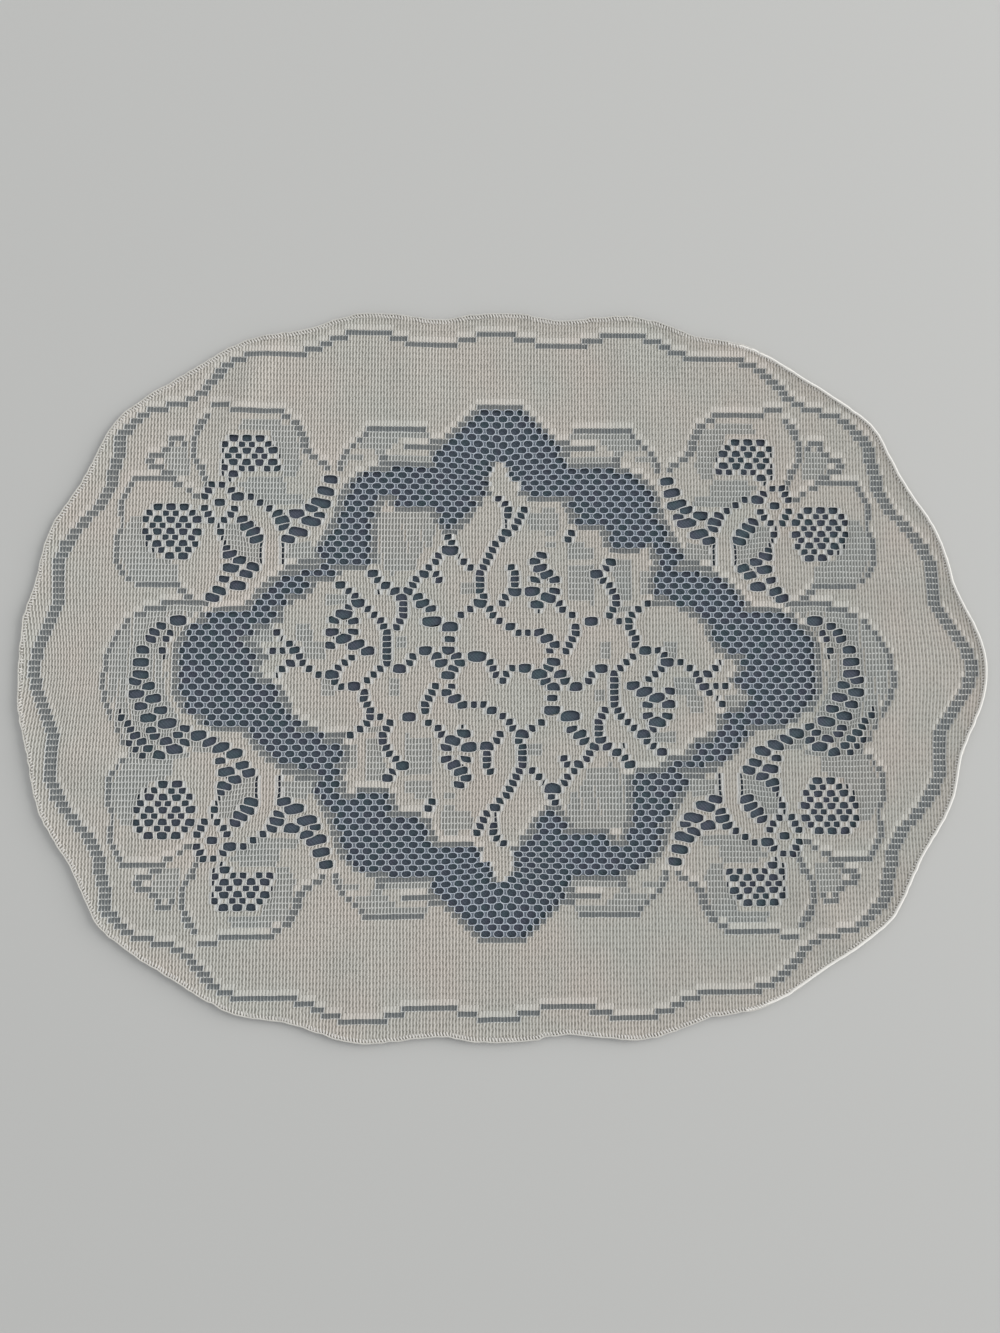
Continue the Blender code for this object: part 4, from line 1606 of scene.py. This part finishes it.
@dataclass
class Pillars:
    """The upright ribs of chain stitches, one stitch to a row. Sizes in millimetres, slants in degrees."""

    chart: Chart
    drape: Drape
    dense_width: float = 0.68
    blank_width: float = 1.1
    gauze_width: float = 0.45
    bar_width: float = 0.34
    side_width: float = 0.34
    block_width: float = 0.5
    level: float = 0.3
    overlap: float = 1.05
    shortest: float = 0.4
    slant: float = 4.5
    slant_change: float = -0.012
    rim_clear: float = 0.5
    rim_steps: int = 7
    seed: int = 23

    def width_at(self, i: int, j: int) -> float:
        """Gives the width of the pillar between gaps i and i + 1 in a row, or 0.

        Args:
            i: The gap on its left.
            j: Its row.

        Returns:
            The width.
        """
        pair = (self.chart.get(i, j), self.chart.get(i + 1, j))
        if pair[0] is pair[1] and pair[0] in (Stitch.HOLE, Stitch.NET, Stitch.NONE):
            return 0.0
        if Stitch.HOLE in pair:
            return self.side_width
        if self.dense(i, j) and Stitch.BAR in (self.chart.get(i, j - 1), self.chart.get(i + 1, j - 1)):
            return self.blank_width
        if Stitch.BAR in pair and pair[0] is not pair[1]:
            return self.block_width
        widths = {Stitch.DENSE: self.dense_width, Stitch.GAUZE: self.gauze_width,
                  Stitch.BAR: self.bar_width, Stitch.NET: self.gauze_width, Stitch.NONE: self.dense_width}
        return (widths[pair[0]] + widths[pair[1]]) / 2

    def points(self, wanted: Callable[[int, int], bool]) -> bpy.types.Mesh:
        """Gives the points of the wanted stitches, with their widths, lengths and slants.

        Args:
            wanted: Tells whether the stitch between gaps i and i + 1 in row j is wanted.

        Returns:
            The points, as a mesh.
        """
        places, widths, lengths, slants = [], [], [], []
        for j in range(-self.chart.rows, self.chart.rows + 1):
            for i in range(-self.chart.columns - 1, self.chart.columns + 1):
                width = self.width_at(i, j)
                if not width or not wanted(i, j):
                    continue
                x = (i + 0.5) * WALE
                steps = np.linspace((j - 0.5) * ROW, (j + 0.5) * ROW, self.rim_steps)
                inside = self.drape.depth(np.full(self.rim_steps, x), steps) > self.rim_clear
                if not inside.any():
                    continue
                low, high = steps[inside].min(), steps[inside].max()
                if high - low < self.shortest:
                    continue
                places.append((x, (low + high) / 2, self.level))
                widths.append(width)
                lengths.append((high - low) * self.overlap)
                slants.append(-math.radians(self.slant + self.slant_change * x))
        mesh = mesh_of("pillar_points", places)
        for label, values in (("width", widths), ("length", lengths), ("slant", slants)):
            mesh.attributes.new(label, "FLOAT", "POINT").data.foreach_set("value", values)
        return mesh

    def dense(self, i: int, j: int) -> bool:
        """Tells whether a stitch stands in dense cloth on both sides."""
        return all(self.chart.get(n, j) in (Stitch.DENSE, Stitch.NONE) for n in (i, i + 1))

    def sheer(self, i: int, j: int) -> bool:
        """Tells whether a stitch stands in sheer stitch or beside an opening on both sides."""
        return all(self.chart.get(n, j) is not Stitch.DENSE for n in (i, i + 1)) and not self.bare(i, j)

    def bare(self, i: int, j: int) -> bool:
        """Tells whether a stitch stands in openwork stitch on both sides."""
        return all(self.chart.get(n, j) is Stitch.BAR for n in (i, i + 1))

    def border(self, i: int, j: int) -> bool:
        """Tells whether a stitch stands where dense cloth ends."""
        return not self.dense(i, j) and not self.sheer(i, j) and not self.bare(i, j)

    def pieces(self, finish: Finish, pale: Finish, light: Finish, thin: Finish) -> list[bpy.types.Object]:
        """Makes the ribs, still flat.

        Args:
            finish: The finish of those in dense cloth.
            pale: The finish of those where dense cloth ends.
            light: The finish of those in sheer stitch.
            thin: The finish of those in openwork stitch.

        Returns:
            The pieces; those of the dense cloth are in two halves.
        """
        tree = pillar_tree()
        cream, white, veiled, grey = finish.build(), pale.build(), light.build(), thin.build()
        return [
            grown(name, self.points(wanted), tree, {
                "Height": height, "Wave": wave, "Pinch": pinch, "Seed": self.seed, "Yarn": yarn})
            for name, wanted, height, wave, pinch, yarn in (
                ("pillars_left", lambda i, j: i < 0 and self.dense(i, j), 0.4, 0.06, 0.03, cream),
                ("pillars_right", lambda i, j: i >= 0 and self.dense(i, j), 0.4, 0.06, 0.03, cream),
                ("border_pillars", self.border, 0.5, 0.05, 0.06, white),
                ("sheer_pillars", self.sheer, 0.34, 0.06, 0.12, veiled),
                ("openwork_pillars", self.bare, 0.15, 0.04, 0.1, grey),
            )]


@dataclass
class NetThreads:
    """The hexagonal net: pairs of threads that part and meet by turns. Sizes in millimetres."""

    pattern: DoilyPattern
    thickness: float = 0.33
    spacing: float = 0.8
    facets: int = 6
    reach: float = 2.24
    rise: float = 1.54
    power: float = 2.5
    knots: int = 16
    stray: float = 0.05
    level: float = 0.5
    plate: tuple[Point, ...] = ((0.5, 0), (0.58, 0.5), (0.8, 0.9), (0.9, 1.1), (0.5, 1.12), (0, 1.12))
    plate_level: float = 0.36
    seed: int = 31

    def stands(self, i: int, j: int) -> bool:
        """Tells whether a pair of threads stands in the net."""
        return self.pattern.chart.get(i, j) is Stitch.NET

    def lines(self) -> bpy.types.Mesh:
        """Gives the thread round each opening, narrower where the net's edge cuts it.

        Returns:
            The closed lines, as a mesh.
        """
        dice = random.Random(self.seed)
        places: list[Point3] = []
        edges = []
        for i, j in self.pattern.chart.cells:
            if not self.pattern.net_opening(i, j):
                continue
            open_gaps = [n for n in (i - 1, i, i + 1) if self.stands(n, j)]
            if not open_gaps:
                continue
            middle = (open_gaps[0] + open_gaps[-1]) / 2 * WALE
            reach = self.reach - (3 - len(open_gaps)) * WALE / 2
            edges += ring(self.knots, len(places))
            for step in range(self.knots):
                turn = 2 * math.pi * step / self.knots
                across, along = math.cos(turn), math.sin(turn)
                size = (abs(across)**self.power + abs(along)**self.power)**(-1 / self.power)
                places.append((
                    middle + reach * size * across + dice.gauss(0, self.stray),
                    j * ROW + self.rise * size * along + dice.gauss(0, self.stray),
                    self.level + dice.gauss(0, self.stray)))
        return mesh_of("net_lines", places, edges)

    def plates(self) -> bpy.types.Mesh:
        """Gives the flat chain between each pair's threads, flared at both ends.

        Returns:
            The chains, as a mesh.
        """
        outline = four_quadrants(self.plate)
        places, faces = [], []
        for i, j in self.pattern.chart.cells:
            if self.pattern.net_opening(i + 2, j) and self.stands(i, j):
                faces.append(range(len(places), len(places) + len(outline)))
                places += [(i * WALE + x, j * ROW + y, self.plate_level) for x, y in outline]
        return mesh_of("net_joins", places, faces=faces)

    def pieces(self, finish: Finish, join: Finish) -> list[bpy.types.Object]:
        """Makes the net's pieces, still flat.

        Args:
            finish: The threads' finish.
            join: The finish of the chains between them.

        Returns:
            The threads and the chains.
        """
        threads = grown("net_threads", self.lines(), thread_tree(), {
            "Thickness": self.thickness, "Spacing": self.spacing, "Facets": self.facets,
            "Yarn": finish.build()})
        joins = new_piece("net_joins", self.plates())
        joins.data.materials.append(join.build())
        return [threads, joins]


@dataclass
class OpeningEdges:
    """The thread that binds each opening. Sizes in millimetres."""

    loops: list[list[Point]]
    thickness: float = 0.3
    spacing: float = 0.8
    facets: int = 4
    level: float = 0.42

    def piece(self, finish: Finish) -> bpy.types.Object:
        """Makes the piece, still flat.

        Args:
            finish: Its finish.

        Returns:
            The piece.
        """
        points, edges = [], []
        for loop in self.loops:
            edges += ring(len(loop), len(points))
            points += [(x, y, self.level) for x, y in loop]
        return grown("opening_edges", mesh_of("opening_lines", points, edges), thread_tree(), {
            "Thickness": self.thickness, "Spacing": self.spacing, "Facets": self.facets,
            "Yarn": finish.build()})


@dataclass
class Overlock:
    """The overlocked edge: slanted stitches round the cut rim. Sizes in millimetres, slant in radians.

    At the right the edge rolls up, and that part is painted white as a highlight, free of shade.
    """

    outline: list[Point]
    count: int = 920
    reach: float = 2.6
    thickness: float = 0.62
    slant: float = 0.35
    level: float = 0.46
    stitch_depth: float = 1.0
    stray: float = 0.16
    level_stray: float = 0.1
    cord: float = 0.75
    spacing: float = 1.2
    facets: int = 6
    roll_depth: float = 0.45
    roll_level: float = 0.9
    roll_thickness: float = 1.3
    roll_from: float = 104.0
    roll_fade: float = 34.0
    roll_stray: float = 0.1
    seed: int = 41

    def line(self, depth: float) -> bpy.types.Mesh:
        """Gives a closed line of edges.

        Args:
            depth: How far it runs inside the outline.

        Returns:
            The line, as a mesh.
        """
        dice = random.Random(self.seed)
        points = [(x + dice.gauss(0, self.stray), y + dice.gauss(0, self.stray),
                   self.level + dice.gauss(0, self.level_stray))
                  for x, y in inset_loop(self.outline, depth)]
        return mesh_of("edge_line", points, ring(len(points)))

    def roll(self) -> bpy.types.Mesh:
        """Gives the line where the edge rolls up at the right.

        Returns:
            The line, as a mesh.
        """
        dice = random.Random(self.seed + 1)
        points = [(x + dice.gauss(0, self.roll_stray), y + dice.gauss(0, self.roll_stray),
                   self.roll_level * float(smooth_step((x - self.roll_from) / self.roll_fade)))
                  for x, y in inset_loop(self.outline, self.roll_depth)]
        edges = [(a, b) for a, b in ring(len(points))
                 if min(points[a][0], points[b][0]) > self.roll_from]
        return mesh_of("roll_line", points, edges)

    def pieces(self, finish: Finish, cord: Finish, bright: Finish) -> list[bpy.types.Object]:
        """Makes the edge's pieces, still flat.

        Args:
            finish: The stitches' finish.
            cord: The finish of the thread along the very edge.
            bright: The finish of the rolled part of it, painted bright as a highlight.

        Returns:
            The stitches, the thread and the rolled part.
        """
        stitches = grown("overlocked_edge", self.line(self.stitch_depth), overlock_tree(), {
            "Count": self.count, "Reach": self.reach, "Thickness": self.thickness,
            "Slant": self.slant, "Seed": self.seed, "Yarn": finish.build()})
        threads = [
            grown(name, line, thread_tree(), {
                "Thickness": thickness, "Spacing": self.spacing, "Facets": self.facets,
                "Yarn": yarn.build()})
            for name, line, thickness, yarn in (
                ("edge_thread", self.line(0.0), self.cord, cord),
                ("rolled_edge", self.roll(), self.roll_thickness, bright))]
        return [stitches, *threads]


@dataclass
class Backing:
    """The plain cloth under the lace, cut a little smaller. Sizes in millimetres."""

    drape: Drape
    inset: float = 5.2
    top: float = 0.75
    thickness: float = 0.6
    step: float = 3.0
    reach: Point = (216.0, 165.0)
    edge_clear: float = 2.1
    edge_out: float = 0.6
    edge_width: float = 2.5

    def piece(self, finish: Finish) -> bpy.types.Object:
        """Makes the piece, in place.

        Args:
            finish: Its finish.

        Returns:
            The piece.
        """
        drape = self.drape
        xs, ys = (np.arange(-reach, reach + 1, self.step) for reach in self.reach)
        gx, gy = (grid.ravel() for grid in np.meshgrid(xs, ys))
        keep = drape.depth(gx, gy) > self.inset + self.edge_clear
        flat = [Vector(place) for place in zip(gx[keep], gy[keep])]
        loop = inset_loop(drape.outline, self.inset)
        verts, _, faces, _, _, _ = delaunay_2d_cdt(
            flat + [Vector(p) for p in loop], ring(len(loop), len(flat)), [], 1, 1e-6)
        x, y = np.array([v.x for v in verts]), np.array([v.y for v in verts])
        rise = smooth_step((drape.depth(x, y) - self.inset + self.edge_out) / self.edge_width)
        edge_top = self.thickness * 0.5
        z = edge_top + (self.top - edge_top) * rise
        places = np.stack([*drape.settle(x, y), z], axis=1) * MM
        cloth = new_piece("backing_cloth", mesh_of("backing_cloth", places, faces=faces))
        cloth.data.shade_smooth()
        solid = cloth.modifiers.new("thickness", "SOLIDIFY")
        solid.thickness = self.thickness * MM * 0.5
        solid.offset = -1
        cloth.data.materials.append(finish.build())
        return cloth


@dataclass(frozen=True)
class Lamp:
    """A soft square light that faces the middle. Sizes in metres, power in watts."""

    name: str
    place: Point3
    size: float
    power: float

    def build(self) -> None:
        """Puts the light in the scene."""
        light = bpy.data.lights.new(self.name, "AREA")
        light.size = self.size
        light.energy = self.power
        lamp = bpy.data.objects.new(self.name, light)
        lamp.location = self.place
        lamp.rotation_euler = (-Vector(self.place)).to_track_quat("-Z", "Y").to_euler()
        bpy.context.scene.collection.objects.link(lamp)


@dataclass(frozen=True)
class Studio:
    """The tabletop, the soft light and the camera.

    Sizes are in metres, in the frame; the lens and the sensor are in millimetres. The turn is an
    axis, as long as its angle in radians.
    """

    eye: Point3 = (-0.0198, -0.03528, 0.3966)
    turn: Point3 = (0.0879, -0.0364, -0.0024)
    lens: float = 32.4
    sensor: float = 36.0
    near_clip: float = 0.01
    table: float = 6.0
    air: str = "#eef1f5"
    air_strength: float = 0.7
    lamps: tuple[Lamp, ...] = (
        Lamp("window", (3.05, 0.9, 1.5), 2.4, 105.5), Lamp("fill", (-0.4, 1.4, 1.8), 1.6, 5.0))

    def build(self) -> None:
        """Builds them."""
        half = self.table / 2
        top = mesh_of("tabletop", [(-half, -half, 0), (half, -half, 0), (half, half, 0), (-half, half, 0)],
                      faces=[(0, 1, 2, 3)])
        floor = new_piece("tabletop", top)
        top.materials.append(FloorFinish().build())
        scene = bpy.context.scene
        scene.view_settings.view_transform = "Standard"
        world = bpy.data.worlds.new("soft_room")
        scene.world = world
        world.use_nodes = True
        background = next(node for node in world.node_tree.nodes if node.type == "BACKGROUND")
        background.inputs["Color"].default_value = linear(self.air)
        background.inputs["Strength"].default_value = self.air_strength
        for lamp in self.lamps:
            lamp.build()
        camera = bpy.data.cameras.new("camera")
        camera.sensor_fit = "HORIZONTAL"
        camera.sensor_width = self.sensor
        camera.lens = self.lens
        camera.clip_start = self.near_clip
        viewer = bpy.data.objects.new("camera", camera)
        turn = Vector(self.turn)
        turned = Matrix.Rotation(turn.length, 4, turn.normalized())
        viewer.matrix_world = Matrix.Translation(self.eye) @ turned
        scene.collection.objects.link(viewer)
        scene.camera = viewer


def remove_startup_objects() -> None:
    """Clears what Blender starts with, and keeps the frame."""
    for name in ("Cube", "Light", "Camera"):
        if name in bpy.data.objects and bpy.data.objects[name].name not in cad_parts:
            bpy.data.objects.remove(bpy.data.objects[name])


def main() -> None:
    """Builds the doily, ties it to the frame and sets the scene."""
    logging.basicConfig(level=logging.INFO, format="%(name)s: %(message)s")
    remove_startup_objects()
    # Bleached cotton, warp-knit: matt, off-white. The web's colour is painted darker, as the ribs' shade.
    shaded_web_finish = WebFinish("lace_web_cotton_painted_shade", "#b9b5ae", "#a5a19a", "#fdf8f2", "#f4f6f2", streak=0.5)
    # The ribs and the border stand proud and catch the light.
    rib_finish = Finish("pillar_cotton", "#dad7d3", "#c5c2bd", "#fff9f3", "#f6f8f3")
    pale_finish = Finish("border_cotton", "#dfdedb", "#cac9c6")
    # Sheer and openwork stitch: thin yarn, greyed by the dark cloth that shows past it.
    sheer_finish = Finish("sheer_cotton", "#dddcd8", "#c9c9c5")
    thin_finish = Finish("openwork_cotton", "#a2a3a1", "#8b8c8a")
    # Veils: threads too fine to lay one by one, seen as one dim surface.
    gauze_veil = Finish("gauze_veil_cotton", "#9a9a95", "#868682", "#fbf9f6", "#f2f6f6")
    bar_veil = Finish("openwork_veil_cotton", "#7a7d7e", "#676a6b", "#fbf9f6", "#f2f6f6")
    # The net: fine twisted yarn, a little cool over slate blue. Its chains lie low and dim.
    net_finish = Finish("net_cotton", "#ccd1d6", "#b4bac1", "#f4f7fb", "#fbfaf8")
    chain_finish = Finish("net_chain_cotton", "#7d848c", "#656d76", "#f4f7fb", "#fbfaf8")
    # The edge: close overlock stitches and a thread outside them, given a duller colour; the rolled hem at
    # the right is the same thread, painted bright as a highlight where the light falls full on it.
    rim_finish = Finish("overlock_cotton", "#dedcd9", "#cac8c4", "#fffdfa", "#faf8f4")
    cord_finish = Finish("edge_thread_cotton", "#d2d0ca", "#b5b3ae", "#fffdfa", "#fdfcf9")
    # Painted highlight: the rolled hem's colour is brighter, as if in full light.
    rolled_highlight_finish = Finish("rolled_edge_painted_highlight", "#f8f6f1", "#e4e2dd", "#fffdfa", "#fdfcf9")
    # Plain-woven cotton, dyed: flat, dull and even.
    backing_finish = BackingFinish("slate_blue_plain_weave", "#56616a", "#465058", "#fbecf8", "#e4f5f1",
                                   roughness=0.95, sheen=0.1, patch=9.0)
    pattern = DoilyPattern()
    chart = pattern.draw()
    drape = Drape(pattern.outline)
    drape.pull_round(chart)
    ground = LaceGround(chart, pattern.outline, drape)
    web = ground.piece([shaded_web_finish, pale_finish, gauze_veil, bar_veil, sheer_finish])
    pillars = Pillars(chart, drape).pieces(rib_finish, pale_finish, sheer_finish, thin_finish)
    net = NetThreads(pattern).pieces(net_finish, chain_finish)
    bound = OpeningEdges(ground.loops).piece(pale_finish)
    rim = Overlock(pattern.outline).pieces(rim_finish, cord_finish, rolled_highlight_finish)
    lace = [web, *pillars, *net, bound, *rim]
    for piece in lace:
        lay_down(piece, drape)
    backing = Backing(drape).piece(backing_finish)
    for piece in [*lace, backing]:
        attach(piece, BODY)
        piece.data.calc_loop_triangles()
        LOG.info("%s: %d triangles", piece.name, len(piece.data.loop_triangles))
    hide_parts("lace")
    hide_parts("backing")
    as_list(lace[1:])
    Studio().build()


if __name__ == "__main__":
    main()
